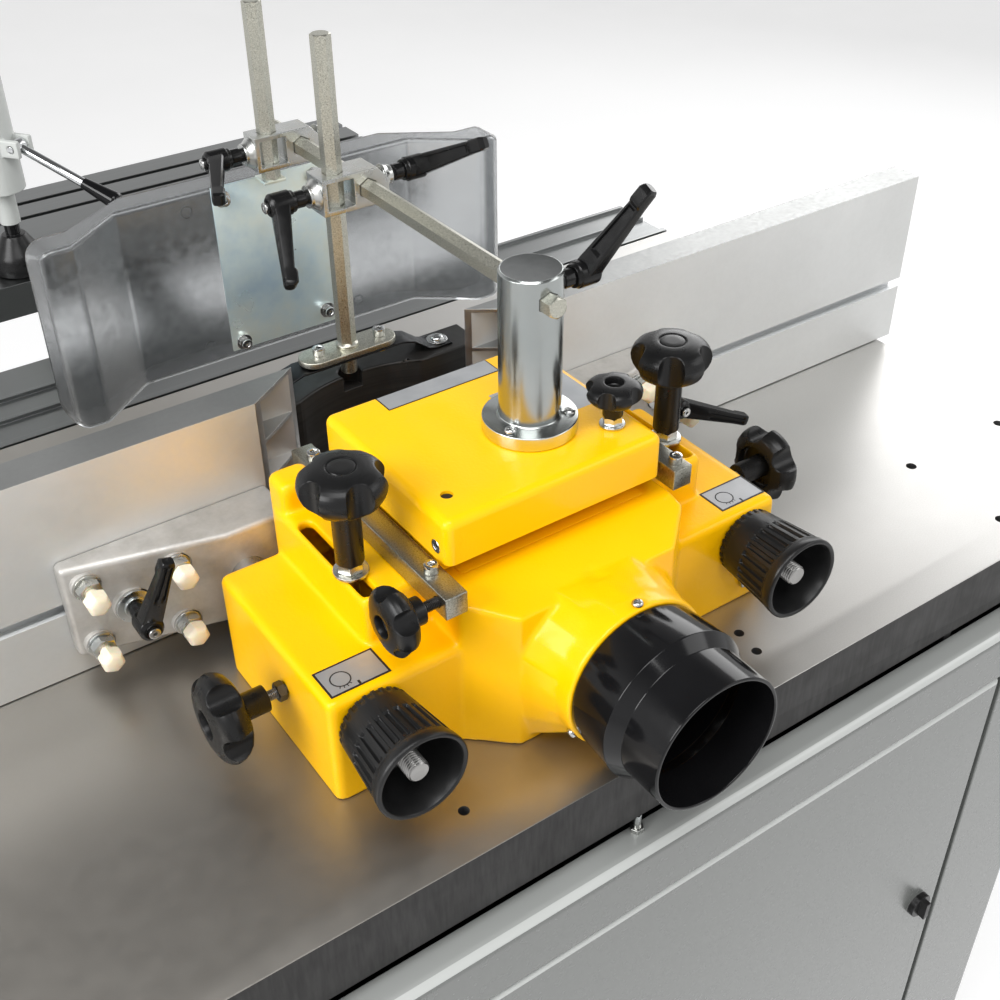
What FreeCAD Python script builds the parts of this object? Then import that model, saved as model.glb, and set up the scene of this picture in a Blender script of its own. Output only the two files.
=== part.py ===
import FreeCAD, Part
import math
import os

os.makedirs("parts", exist_ok=True)
V = FreeCAD.Vector

# ------------------------------------------------------------------ driving dimensions (mm)
TABLE_H = 880.0          # table top above floor
TABLE_X = 600.0          # half length of table
TABLE_Y0 = -58.5         # front edge of table
TABLE_Y1 = 613.5         # rear edge of table
TABLE_EDGE = 58.0        # height of the table's machined edge
CAB_X = 545.0            # half width of cabinet
CAB_Y0 = -20.0           # cabinet front
CAB_Y1 = 633.5           # cabinet rear
CAB_TOP = 75.0           # cabinet top below table top
CAB_Z0 = 60.0            # cabinet underside
SHEET = 3.0              # sheet thickness
DOOR_X = 418.5           # half width of rear door opening
DOOR_TOP = 133.5         # door opening top below table top
SP_Y = 300.0             # spindle axis
ARBOR_R = 15.0           # 30 mm arbor
FENCE_BACK = 289.5       # back face of fences
FENCE_T = 33.0           # fence thickness
FENCE_H = 183.5          # fence height
FENCE_END = 618.0        # outer end of fences
SLOT_Z = 63.0            # fence T-slot centre above table
WING_X0, WING_X1 = 99.6, 203.0
WING_Y0, WING_Y1 = 351.5, 520.5
WING_H = 93.0
PAD_X1, PAD_Y1, PAD_H = 152.0, 484.5, 133.0
KNOB_X, KNOB_Y = 142.5, 450.5
KNOB_YR = 444.0          # right side knob
SLOT_Y0, SLOT_Y1 = 379.5, 479.5
BAR_X, BAR_Z, BAR_R = 171.0, 65.0, 16.0     # fence guide bar in the wing
OUT_Z = 68.0             # dust outlet axis above table
OUT_Y1 = 676.0           # outlet tip
LID_X0, LID_X1 = -87.0, 100.0
LID_Y0, LID_Y1 = 341.5, 508.5
LID_Z0, LID_Z1 = 154.0, 190.0
RAIL_Z0, RAIL_Z1 = 133.5, 151.0
COL_X, COL_Y, COL_R, COL_TOP = -15.0, 443.5, 22.75, 316.0
ARM_X, ARM_Z, HEX_AF = -14.0, 299.0, 14.0
SHOE_X, SHOE_Y = 10.0, 215.5
GUARD_X, GUARD_Y = 12.0, 106.5
BAR_TOP = 420.0
HOLD_X, HOLD_Y = 107.6, -439.0
T = TABLE_H

# ------------------------------------------------------------------ helpers
def box(x0, x1, y0, y1, z0, z1):
    return Part.makeBox(x1 - x0, y1 - y0, z1 - z0, V(x0, y0, z0))

def cyl(x, y, z, ax, r, l):
    return Part.makeCylinder(r, l, V(x, y, z), V(*ax))

def cone(x, y, z, ax, r1, r2, l):
    return Part.makeCone(r1, r2, l, V(x, y, z), V(*ax))

def tube(x, y, z, ax, ro, ri, l):
    return cyl(x, y, z, ax, ro, l).cut(cyl(x, y, z, ax, ri, l))

def fuse(*s):
    r = s[0]
    if len(s) > 1:
        r = r.multiFuse(list(s[1:]))
    return r.removeSplitter()

def cut(a, *s):
    return a.cut(list(s)) if len(s) > 1 else a.cut(s[0])

def frame_of(ax, up):
    a = V(*ax); a.normalize()
    u = V(*up); u = u - a * u.dot(a); u.normalize()
    return a, u, a.cross(u)

def poly(pts, vec):
    w = Part.makePolygon([V(*p) for p in pts] + [V(*pts[0])])
    return Part.Face(w).extrude(V(*vec))

def hexbar(x, y, z, ax, af, l, up):
    a, u, s = frame_of(ax, up)
    r = af / math.sqrt(3)
    p = V(x, y, z)
    pts = [p + (u * math.cos(k * math.pi / 3) + s * math.sin(k * math.pi / 3)) * r for k in range(6)]
    w = Part.makePolygon(pts + [pts[0]])
    return Part.Face(w).extrude(a * l)

def rbox(x0, x1, y0, y1, z0, z1, r, keep_bottom=True):
    b = box(x0, x1, y0, y1, z0, z1)
    ed = []
    for e in b.Edges:
        c = e.CenterOfMass
        if keep_bottom and abs(c.z - z0) < 1e-6:
            continue
        ed.append(e)
    return b.makeFillet(r, ed)

def revolve(prof, p, ax, up):
    a, u, s = frame_of(ax, up)
    base = V(*p)
    pts = [base + u * r + a * h for r, h in prof]
    w = Part.makePolygon(pts + [pts[0]])
    return Part.Face(w).revolve(base, a, 360)

def star(p, ax, up, R, h, rs, ls, n, stud_r, stud_in, recess=True):
    """Star knob: stem from p along ax, lobed head, stud running back inside."""
    a, u, s = frame_of(ax, up)
    prof = [(0, 0), (rs, 0), (rs, ls), (R * 0.72, ls + h * 0.02), (R * 0.93, ls + h * 0.22), (R, ls + h * 0.48),
            (R * 0.95, ls + h * 0.74), (R * 0.78, ls + h * 0.93), (R * 0.5, ls + h), (0, ls + h)]
    k = revolve(prof, p, ax, up)
    base = V(*p)
    cuts = []
    for i in range(n):
        t = 2 * math.pi * (i + 0.5) / n
        c = base + (u * math.cos(t) + s * math.sin(t)) * (R * 1.20) + a * (ls - 0.5)
        cuts.append(Part.makeCylinder(R * 0.36, h + 2, c, a))
    if recess:
        cuts.append(Part.makeCylinder(R * 0.27, 3, base + a * (ls + h - 2.0), a))
    k = k.cut(cuts)
    if stud_in > 0:
        k = k.fuse(Part.makeCylinder(stud_r, stud_in + 1, base - a * stud_in, a))
    return k.removeSplitter()

def lever(p, ax, d, L, stud_in, stud_r=4.0):
    """Clamping lever: stud, neck, hub with cap screw, tapered arm along d."""
    a = V(*ax); a.normalize()
    d = V(*d); d.normalize()
    s = a.cross(d); s.normalize()
    t = d.cross(s)
    b = V(*p)
    q = b + a * 23.0
    parts = [Part.makeCylinder(stud_r, stud_in + 2, b - a * stud_in, a),
             Part.makeCylinder(6.5, 13.0, b, a),
             Part.makeCylinder(9.5, 21.0, b + a * 12.0, a),
             Part.makeCylinder(4.6, 5.0, b + a * 32.0, a)]
    def sec(k, w, th):
        c = q + d * k
        pts = [c + s * w + t * th, c - s * w + t * th, c - s * w - t * th, c + s * w - t * th]
        return Part.makePolygon(pts + [pts[0]])
    arm = Part.makeLoft([sec(2.0, 7.8, 6.0), sec(L * 0.75, 5.6, 4.6), sec(L, 5.2, 4.2)], True, True)
    return fuse(*(parts + [arm]))

def mirror_x(s):
    return s.mirror(V(0, 0, 0), V(1, 0, 0))

def put(name, shape):
    if isinstance(shape, (list, tuple)):
        shape = Part.makeCompound(list(shape))
    shape.exportStep("parts/%s.step" % name)

X, Y, Z = (1, 0, 0), (0, 1, 0), (0, 0, 1)
NX, NY, NZ = (-1, 0, 0), (0, -1, 0), (0, 0, -1)

# ------------------------------------------------------------------ cabinet
ct = T - CAB_TOP
outer = box(-CAB_X, CAB_X, CAB_Y0, CAB_Y1, CAB_Z0, ct)
ed = [e for e in outer.Edges if abs(e.CenterOfMass.z - CAB_Z0) > 1 and (abs(e.CenterOfMass.z - ct) < 1e-6 or abs(e.CenterOfMass.z - (ct + CAB_Z0) / 2) < 1)]
outer = outer.makeFillet(10.0, ed)
inner = box(-CAB_X + SHEET, CAB_X - SHEET, CAB_Y0 + SHEET, CAB_Y1 - SHEET, CAB_Z0 + SHEET, ct - SHEET)
inner = inner.makeFillet(7.0, [e for e in inner.Edges if abs(e.CenterOfMass.z - CAB_Z0 - SHEET) > 1])
shell = outer.cut(inner)
shell = cut(shell,
            box(-CAB_X + 62, CAB_X - 62, CAB_Y0 + 62, CAB_Y1 - 27, ct - 10, ct + 10),
            box(-DOOR_X, DOOR_X, CAB_Y1 - 20, CAB_Y1 + 20, 140, T - DOOR_TOP),
            cyl(-90, CAB_Y0 - 10, T - 470, Y, 14.0, 30))
# folded return around the door opening, hinge lugs
shell = fuse(shell,
             cut(box(-DOOR_X - 2, DOOR_X + 2, CAB_Y1 - 24, CAB_Y1 - SHEET, 138, T - DOOR_TOP + 2),
                 box(-DOOR_X, DOOR_X, CAB_Y1 - 30, CAB_Y1 + 5, 140, T - DOOR_TOP)),
             cut(box(-DOOR_X - 2, DOOR_X + 2, CAB_Y1 - 27, CAB_Y1 - 24, 138, T - DOOR_TOP + 2),
                 box(-DOOR_X + 18, DOOR_X - 18, CAB_Y1 - 40, CAB_Y1 + 5, 158, T - DOOR_TOP - 18)))
for zz in (200.0, 620.0):
    lug = fuse(cyl(421.5, 640.5, zz + 30.6, Z, 5.5, 30), box(421.5, 446, 633.4, 638.5, zz + 30.6, zz + 60.6))
    shell = fuse(shell, lug)
put("cabinet_shell", shell)

feet = []
for fx in (-490, 490):
    for fy in (40, 575):
        feet.append(fuse(cone(fx, fy, 0, Z, 32, 26, 14), cyl(fx, fy, 13, Z, 9, 46.8), hexbar(fx, fy, 48, Z, 24, 11.8, X)))
put("cabinet_feet", feet)

dz0, dz1 = 144.0, T - DOOR_TOP - 4.0
door = box(-DOOR_X + 5, DOOR_X - 5, CAB_Y1 - 20, CAB_Y1, dz0, dz1)
door = door.makeFillet(5.0, [e for e in door.Edges if abs(e.CenterOfMass.y - CAB_Y1) < 1e-6])
door = cut(door, box(-DOOR_X + 7, DOOR_X - 7, CAB_Y1 - 30, CAB_Y1 - 3, dz0 + 2, dz1 - 2))
for zz in (200.0, 620.0):
    door = fuse(door, cyl(421.5, 640.5, zz, Z, 5.5, 30), box(396, 413.4, 633.4, 638.5, zz, zz + 30), box(413.3, 421.5, 634.0, 638.5, zz, zz + 30))
door = fuse(door, cyl(-380, 633.4, 440, Y, 14, 7), box(-383, -377, 640, 648, 428, 452))
put("rear_door", door)

# ------------------------------------------------------------------ table
tb = T - TABLE_EDGE
plate = box(-TABLE_X, TABLE_X, TABLE_Y0, TABLE_Y1, T - 20, T)
skirt = cut(box(-TABLE_X, TABLE_X, TABLE_Y0, TABLE_Y1, tb, T),
            box(-TABLE_X + 25, TABLE_X - 25, TABLE_Y0 + 25, TABLE_Y1 - 25, tb - 5, T - 20))
ribs = [box(-560, 560, 0, 20, tb, T - 19), box(-576, 576, 150, 162, tb + 8, T - 19), box(-576, 576, 450, 462, tb + 8, T - 19)]
for rx in (-480, -300, 300, 480):
    ribs.append(box(rx - 6, rx + 6, TABLE_Y0 + 20, TABLE_Y1 - 20, tb + 8, T - 19))
ribs.append(cyl(0, SP_Y, tb + 8, Z, 145, 40))
ribs += [box(rx - 4.5, rx + 4.5, 594, 604, tb - 22, tb + 1) for rx in (-357, 357)]
table = fuse(plate, skirt, *ribs)
holes = [cyl(0, SP_Y, tb - 5, Z, 112, 80), cyl(0, SP_Y, T - 8, Z, 118, 10)]
for hx, hy in ((136, 575.5), (-141.6, 575.5), (-145, 552)):
    holes.append(cyl(hx, hy, T - 25, Z, 4.2, 30))
for hx in (-568, -440):
    for hy in (474.5, 576.5):
        holes.append(cyl(hx, hy, T - 25, Z, 5.0, 30))
for hx in (-KNOB_X, KNOB_X):
    holes.append(cyl(hx, KNOB_Y, T - 70, Z, 5.4, 80))
holes.append(box(-76, 76, 384, 448, tb - 5, T - 20))
table = cut(table, *holes)
put("machine_table", table)

lev = []
for bx, by in ((-480, 611.6), (6, 611.6), (480, 611.6), (-480, 10), (8, 10), (480, 10)):
    lev.append(fuse(cyl(bx, by, ct, Z, 3, 17), hexbar(bx, by, ct, Z, 10, 4.2, X)))
put("levelling_bolts", lev)

r1 = cut(cyl(0, SP_Y, T - 8, Z, 117.6, 8), cyl(0, SP_Y, T - 9, Z, 80, 10), cyl(0, SP_Y, T - 4, Z, 86, 5))
r2 = cut(fuse(cyl(0, SP_Y, T - 4, Z, 85.6, 4), cyl(0, SP_Y, T - 8, Z, 79.6, 4)), cyl(0, SP_Y, T - 9, Z, 44, 12))
put("insert_rings", [r1, r2])

# ------------------------------------------------------------------ spindle unit
way = fuse(box(-75, 75, 385, 425, T - 450, T - 20), box(-110, 75, 350, 425, T - 455, T - 438), box(-110, -65, 340, 425, T - 455, T - 438),
           box(-48, 48, 378, 386, T - 437, T - 62))
way = cut(way, cyl(-90, 356, T - 460, Z, 8.4, 40))
put("slide_way", way)

quill = fuse(cyl(0, SP_Y, T - 330, Z, 55, 200), box(-60, 60, SP_Y, 377.5, T - 330, T - 140))
quill = fuse(quill, box(-110, -50, 340, 372, T - 322, T - 296))
gib = fuse(box(-60, -48.5, 370, 384.4, T - 330, T - 140), box(48.5, 60, 370, 384.4, T - 330, T - 140))
quill = fuse(quill, gib, box(-60, 330, 225, 372, T - 343, T - 330))
quill = cut(quill, cyl(0, SP_Y, T - 350, Z, 22, 230), cyl(0, SP_Y, T - 166, Z, 40.0, 40), cyl(0, SP_Y, T - 329, Z, 40.0, 36),
            cyl(-90, 356, T - 330, Z, 8.4, 50), cyl(235, SP_Y, T - 350, Z, 45, 30))
put("quill_housing", quill)

def bearing(z0):
    return [tube(0, SP_Y, z0, Z, 39.9, 33.5, 18), tube(0, SP_Y, z0, Z, 25.5, 20.5, 18), tube(0, SP_Y, z0 + 4, Z, 33.0, 26.0, 10)]
put("spindle_bearings", bearing(T - 160) + bearing(T - 322))

shaft = fuse(cyl(0, SP_Y, T - 420, Z, 20.0, 295), cyl(0, SP_Y, T - 126, Z, 36, 12), cyl(0, SP_Y, T - 116, Z, 28, 106), cyl(0, SP_Y, T - 12, Z, ARBOR_R, 142))
shaft = cut(shaft, hexbar(0, SP_Y, T + 122, Z, 10, 12, X))
put("spindle_shaft", shaft)
spc = []
zz = T - 10
for h in (30, 20, 20, 20, 15, 10):
    spc.append(tube(0, SP_Y, zz, Z, 24, ARBOR_R + 0.05, h - 0.2))
    zz += h
nut = cut(fuse(hexbar(0, SP_Y, zz + 2, Z, 41, 14, X), cyl(0, SP_Y, zz, Z, 23, 2.2)), cyl(0, SP_Y, zz - 1, Z, ARBOR_R + 0.05, 20))
put("arbor_rings", spc + [nut])

def pulley(x, r, bore, z0):
    p = fuse(cyl(x, SP_Y, z0, Z, r, 32), cyl(x, SP_Y, z0 - 3, Z, r + 4, 3), cyl(x, SP_Y, z0 + 32, Z, r + 4, 3))
    return cut(p, cyl(x, SP_Y, z0 - 5, Z, bore, 50))
PZ = T - 400
put("spindle_pulley", pulley(0, 38, 20.05, PZ))
put("motor_pulley", [fuse(pulley(235, 60, 12.0, PZ), cyl(235, SP_Y, PZ - 3, Z, 12.1, 56))])

def racetrack(r0, r1_, z0, h):
    d = 235.0
    a = math.asin((r1_ - r0) / d)
    pts = [(r0 * -math.sin(a), r0 * math.cos(a)), (d - r1_ * math.sin(a), r1_ * math.cos(a))]
    p0u, p1u = V(pts[0][0], SP_Y + pts[0][1], z0), V(pts[1][0], SP_Y + pts[1][1], z0)
    p0d, p1d = V(pts[0][0], SP_Y - pts[0][1], z0), V(pts[1][0], SP_Y - pts[1][1], z0)
    e = [Part.makeLine(p0u, p1u), Part.Arc(p1u, V(d + r1_, SP_Y, z0), p1d).toShape(), Part.makeLine(p1d, p0d),
         Part.Arc(p0d, V(-r0, SP_Y, z0), p0u).toShape()]
    return Part.Face(Part.Wire(e)).extrude(V(0, 0, h))
put("drive_belt", cut(racetrack(42.0, 64.0, PZ + 3, 26), racetrack(38.4, 60.4, PZ, 40)))

mot = fuse(cyl(235, SP_Y, T - 330, Z, 72, 190), cyl(235, SP_Y, T - 330, Z, 80, 12), cyl(235, SP_Y, T - 142, Z, 68, 24),
           box(205, 265, SP_Y - 108, SP_Y - 60, T - 270, T - 190))
mot = cut(mot, cyl(235, SP_Y, T - 340, Z, 12.5, 60))
for k in range(24):
    t = 2 * math.pi * k / 24
    if abs(math.degrees(t) - 270) > 26:
        fin = box(70, 77, -1.5, 1.5, T - 312, T - 146)
        fin.rotate(V(0, 0, 0), V(0, 0, 1), math.degrees(t))
        fin.translate(V(235, SP_Y, 0))
        mot = mot.fuse(fin)
put("drive_motor", mot.removeSplitter())

put("lift_screw", fuse(cyl(-90, 356, T - 445, Z, 8.0, 375), cyl(-90, 356, T - 437.6, Z, 13, 6), cone(-90, 356, T - 463, Z, 14, 18, 7.6), cyl(-90, 356, T - 457, Z, 8.0, 20)))

# handwheel on a horizontal shaft through the cabinet front
hz = T - 470
wheel = fuse(Part.makeTorus(80, 9, V(-90, -72, hz), V(0, 1, 0)), cyl(-90, -84, hz, Y, 20, 30))
for k in range(3):
    sp = box(-8, 8, -5, 5, 15, 76)
    sp.rotate(V(0, 0, 0), V(0, 1, 0), 120 * k)
    sp.translate(V(-90, -72, hz))
    wheel = wheel.fuse(sp)
wheel = fuse(wheel, cyl(-90, -60, hz, Y, 9, 392), cyl(-90, -92, hz + 80, Y, 5, 20))
wheel = fuse(wheel, cone(-90, 326, hz, Y, 18, 13, 10))
put("handwheel", wheel)
put("handwheel_grip", cut(fuse(cyl(-90, -150, hz + 80, Y, 11, 50), cone(-90, -100, hz + 80, Y, 11, 9, 8)), cyl(-90, -160, hz + 80, Y, 5.4, 80)))

# ------------------------------------------------------------------ control box
cp = rbox(250, 400, -62, CAB_Y0 - 0.2, T - 300, T - 190, 5, False)
cp = cut(cp, cyl(290, -70, T - 245, Y, 15.5, 30), cyl(355, -70, T - 245, Y, 15.5, 30))
put("control_panel", cp)
put("start_button", fuse(cyl(290, -66, T - 245, Y, 15.0, 20), cyl(290, -66, T - 245, Y, 12, 2)))
put("stop_button", fuse(cyl(355, -66, T - 245, Y, 15.0, 20), cone(355, -84, T - 245, Y, 16, 21, 6), cyl(355, -78, T - 245, Y, 21, 8), cyl(355, -72, T - 245, Y, 11, 10)))

# ------------------------------------------------------------------ front guide rail and sliding carriage
ry0, ry1 = -155.0, -62.0
rail = fuse(box(-600, 600, ry0, ry1, T - 70, T - 4), box(-600, 600, -70.5, ry1, T - 10, T), box(-600, 600, -114.5, -108.5, T - 10, T), box(-600, 600, ry0, ry0 + 5, T - 10, T))
rail = cut(rail, box(-610, 610, ry0 + 8, -116, T - 60, T - 14), box(-610, 610, -107, ry1 - 8, T - 60, T - 14), box(-610, 610, ry0 - 1, ry0 + 20, T - 50, T - 30))
rail = fuse(rail, *[box(a - 20, a + 20, ry1 - 0.5, TABLE_Y0, T - 55, T - 25) for a in (-450, 0, 450)])
put("guide_rail", rail)

beam = fuse(box(-60, 470, -211.5, -158.5, T - 60, T - 3))
lips = [cyl(bx, -157.4, T - 40, NY, 8.6, 20) for bx in (0, 400)]
rollers = [fuse(cyl(bx, -160, T - 40, Y, 8.6, 16)) for bx in (0, 400)]
arms = [box(-40, 10, -402, -205, T - 58, T - 32), box(400, 450, -402, -205, T - 58, T - 32)]
deck = box(-450, 450, -676.0, -398.5, T - 42, T)
grooves = []
for gy in (-582.5, -631.5, -470.0):
    grooves += [box(-460, 460, gy - 5, gy + 5, T - 10, T + 1), box(-460, 460, gy - 10, gy + 10, T - 18, T - 9.9)]
for gy0, gy1 in ((-668, -610), (-602, -552), (-544, -492), (-484, -407)):
    grooves.append(box(-460, 460, gy0, gy1, T - 37, T - 22))
deck = cut(deck, *grooves)
carr = fuse(beam, deck, *(arms + rollers))
put("sliding_carriage", carr)

# hold-down: post, arm and clamp body; lever; plunger with foot
hp = fuse(box(262, 318, -612, -553, T + 0.2, T + 14), cyl(290, -582.5, T + 12, Z, 14, 300), box(282, 298, -587, -578, T - 10.4, T + 1), box(280, 300, -592, -573, T - 17.4, T - 10.3))
hd = V(HOLD_X - 290, HOLD_Y + 582.5, 0)
hl = hd.Length
hd.normalize()
arm = box(0, hl, -9, 9, T + 206, T + 232)
arm.rotate(V(0, 0, 0), V(0, 0, 1), math.degrees(math.atan2(hd.y, hd.x)))
arm.translate(V(290, -582.5, 0))
HLZ = T + 158.0
hdir = V(-0.596, 0.803, 0)
hax = V(0.803, 0.596, 0)     # lever swings about this horizontal axis
hc = V(HOLD_X, HOLD_Y, HLZ)
hbody = cyl(HOLD_X, HOLD_Y, T + 102, Z, 27, 138)
ears = []
for sg in (-1, 1):
    e0 = box(20, 46, -3, 3, -10, 10)
    e0.translate(V(0, sg * 11.6, 0))
    e0.rotate(V(0, 0, 0), V(0, 0, 1), math.degrees(math.atan2(hdir.y, hdir.x)))
    e0.translate(hc)
    ears.append(e0)
hp = fuse(hp, arm, cyl(290, -582.5, T + 198, Z, 22, 42), hbody, *ears)
hp = cut(hp, cyl(HOLD_X, HOLD_Y, T + 90, Z, 12.4, 100), Part.makeCylinder(4.4, 60, hc + hdir * 36 - hax * 30, hax))
put("hold_down_post", hp)
hq = hc + hdir * 36
ldir = V(-0.546, 0.735, -0.402)
ldir.normalize()
hlev = fuse(Part.makeCylinder(8.0, 16.0, hq - hax * 8, hax), Part.makeCylinder(4.0, 30.0, hq - hax * 15, hax), Part.makeCylinder(5.5, 100, hq, ldir),
            Part.makeCone(6.5, 10.5, 46, hq + ldir * 86, ldir))
put("hold_down_lever", hlev)
foot = fuse(cyl(HOLD_X, HOLD_Y, T + 60, Z, 11.9, 90), cyl(HOLD_X, HOLD_Y, T + 44, Z, 9, 20), revolve([(0, 1), (32, 1), (32.5, 8), (29, 22), (20, 36), (14, 46), (0, 46)], (HOLD_X, HOLD_Y, T), Z, X))
put("hold_down_foot", foot)

# ------------------------------------------------------------------ dust hood casting
def wing(ky, wh):
    w = rbox(WING_X0 - 8, WING_X1, WING_Y0, WING_Y1, T + 0.3, T + WING_H, 6)
    pad = rbox(90, PAD_X1, WING_Y0 - 6, PAD_Y1, T + 0.3, T + PAD_H, 6)
    wall = rbox(118.6, 150, 338, 366, T + 0.3, T + wh, 7)
    s = fuse(w, pad, wall)
    s = cut(s, box(106, WING_X1 - 7, WING_Y0 + 7, WING_Y1 - 7, T - 1, T + WING_H - 7), box(100.6, PAD_X1 - 5, WING_Y0 + 16, PAD_Y1 - 5, T - 1, T + PAD_H - 8))
    s = fuse(s, cyl(BAR_X, WING_Y0 - 2, T + BAR_Z, Y, 21, 50), cyl(BAR_X, WING_Y1 - 20, T + BAR_Z, Y, 15, 20), cyl(WING_X1 - 14, ky, T + 55, X, 11, 14))
    slot = fuse(box(KNOB_X - 5.7, KNOB_X + 5.7, SLOT_Y0 + 5.7, SLOT_Y1 - 5.7, T - 5, T + 160),
                cyl(KNOB_X, SLOT_Y0 + 5.7, T - 5, Z, 5.7, 165), cyl(KNOB_X, SLOT_Y1 - 5.7, T - 5, Z, 5.7, 165))
    return cut(s, slot, cyl(BAR_X, WING_Y0 - 10, T + BAR_Z, Y, BAR_R + 0.35, 170 - 12), cyl(BAR_X, WING_Y0, T + BAR_Z, Y, 7.4, 200),
               cyl(WING_X1 - 40, ky, T + 55, X, 4.6, 60))

# the guide bar bore stops short of the rear wall
body = poly([(-99.6, 330, T + 0.3), (99.6, 330, T + 0.3), (99.6, 520.5, T + 0.3), (68.7, 549, T + 0.3), (-68.7, 549, T + 0.3), (-99.6, 520.5, T + 0.3)], (0, 0, 160))
prof = poly([(-120, 320, T), (-120, 600, T), (-120, 600, T + 108), (-120, 549, T + 121), (-120, 508, T + 133), (-120, 320, T + 133)], (240, 0, 0))
body = body.common(prof)
# faceted throat to the round outlet stub
def ring16(y, pts):
    w = Part.makePolygon([V(px, y, pz) for px, pz in pts] + [V(pts[0][0], y, pts[0][1])])
    return w
N = 24
circ = [(60.8 * math.cos(2 * math.pi * k / N), T + OUT_Z + 60.8 * math.sin(2 * math.pi * k / N)) for k in range(N)]
def oct_pt(t):
    cx, cz = math.cos(t), math.sin(t)
    hx, hz_, lo, ch = 71.0, 56.0, 65.5, 96.0
    r = 1e9
    if abs(cx) > 1e-9: r = min(r, hx / abs(cx))
    if cz > 1e-9: r = min(r, hz_ / cz)
    if cz < -1e-9: r = min(r, lo / -cz)
    if cz > 0: r = min(r, ch / (abs(cx) + cz))
    return (r * cx, T + OUT_Z + r * cz)
octo = [oct_pt(2 * math.pi * k / N) for k in range(N)]
throat = Part.makeLoft([ring16(541, octo), ring16(580, circ)], True, True)
stub = cyl(0, 579, T + OUT_Z, Y, 60.8, 14.3)
hood = fuse(body, wing(KNOB_Y, 157), mirror_x(wing(KNOB_YR, 127)), throat, stub)
cav = [box(-92, 92, 320, 505, T - 1, T + 125), box(-80, 80, 320, 495, T + 120, T + 140), cyl(0, 480, T + OUT_Z, Y, 55.5, 120)]
for a in (90, 210, 330):
    dx, dz = math.cos(math.radians(a)), math.sin(math.radians(a))
    cav.append(Part.makeCylinder(2.2, 20, V(50 * dx, 588, T + OUT_Z + 50 * dz), V(dx, 0, dz)))
hood = cut(hood, *cav)
put("hood_casting", hood)

rl = rbox(99.8, 117.2, 316.5, 532.5, T + RAIL_Z0, T + RAIL_Z1, 1.0, False)
rl = cut(rl, cyl(90, 521.5, T + 142.5, X, 4.4, 40), cyl(108.5, 337.0, T + 120, Z, 3.2, 40), cyl(108.5, 501.5, T + 120, Z, 3.2, 40))
rr = rbox(-118, -100.6, 316.5, 508.5, T + RAIL_Z0, T + RAIL_Z1, 1.0, False)
rr = cut(rr, cyl(-109.3, 337.0, T + 120, Z, 3.2, 40), cyl(-109.3, 499.0, T + 120, Z, 3.2, 40))
# the rails rest on the pad tops, which are relieved to their seat
put("hood_rails", [rl, rr])

scr = []
for sx, sy in ((108.5, 337.0), (108.5, 501.5), (-109.3, 337.0), (-109.3, 499.0)):
    scr.append(cut(fuse(cyl(sx, sy, T + RAIL_Z1, Z, 5.2, 7.0), cyl(sx, sy, T + 133.4, Z, 3.0, 18)), hexbar(sx, sy, T + RAIL_Z1 + 3.5, Z, 5, 5, X)))
for a in (90, 210, 330):
    dx, dz = math.cos(math.radians(a)), math.sin(math.radians(a))
    scr.append(fuse(Part.makeCylinder(2.0, 6.0, V(56 * dx, 588, T + OUT_Z + 56 * dz), V(dx, 0, dz)), Part.makeCone(3.8, 2.4, 2.4, V(61 * dx, 588, T + OUT_Z + 61 * dz), V(dx, 0, dz))))
put("hood_screws", scr)

# outlet adapter, pushed into the stub
ad = revolve([(50.0, 0), (54.9, 0), (54.9, 29.5), (58.3, 29.6), (61.0, 68.5), (53.6, 77.0), (53.6, OUT_Y1 - 564), (50.6, OUT_Y1 - 564), (50.6, 76.0), (57.0, 66.5), (55.0, 34.0), (50.0, 26.0)],
             (0, 564, T + OUT_Z), Y, Z)
put("hose_adapter", ad)

# ------------------------------------------------------------------ lid with guard column
lid = rbox(LID_X0, LID_X1, LID_Y0, LID_Y1, T + LID_Z0, T + LID_Z1, 7)
lid = cut(lid, box(LID_X0 + 6, LID_X1 - 6, LID_Y0 + 6, LID_Y1 - 6, T + LID_Z0 - 1, T + LID_Z1 - 7))
tong = cut(box(-98, 97.5, 352, 492, T + 144, T + LID_Z0 + 3), box(-74, 74, 340, 480, T + 140, T + 160))
tong = cut(tong, box(-120, -88, 300, 520, T + 152, T + 160))
lid = fuse(lid, tong, box(-84, 96.5, 484, 489.5, T + 136, T + LID_Z0 + 3))
lid = cut(lid, cyl(80.5, 479.7, T + 170, Z, 4.3, 40), cyl(-64.5, 477, T + 150, Z, 4.4, 60), cyl(70, 494.3, T + 164, X, 3.4, 40),
          cyl(COL_X, COL_Y, T + 180, Z, 8, 20))
put("hood_lid", lid)

col = fuse(cyl(COL_X, COL_Y, T + LID_Z1 + 0.1, Z, 35, 12), cyl(COL_X, COL_Y, T + LID_Z1 + 5, Z, COL_R, COL_TOP - LID_Z1 - 5))
cb = [e for e in col.Edges if abs(e.CenterOfMass.z - (T + COL_TOP)) < 1e-6]
col = col.makeChamfer(1.2, cb)
col = cut(col, hexbar(ARM_X, COL_Y - 60, T + ARM_Z, Y, HEX_AF + 0.8, 120, Z), cyl(COL_X - 60, COL_Y, T + ARM_Z, X, 4.4, 55))
cs = []
for a in (25, 145, 265):
    sx, sy = COL_X + 28.5 * math.cos(math.radians(a)), COL_Y + 28.5 * math.sin(math.radians(a))
    cs.append(cyl(sx, sy, T + LID_Z1 + 12.1, Z, 4.6, 2.6))
put("guard_column", [col] + cs)

put("lid_knob", fuse(star((-64.5, 477, T + 198.7), Z, X, 21, 16, 7.5, 11.3, 5, 4.0, 36.7), cyl(-64.5, 477, T + LID_Z1 + 0.2, Z, 9.5, 1.8), hexbar(-64.5, 477, T + 192, Z, 13, 6.5, X), cyl(-64.5, 477, T + 192, Z, 4, 12)))
put("rail_knob", star((130, 521.5, T + 142.5), X, Z, 25, 20, 10, 10, 5, 4.0, 29))

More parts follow.
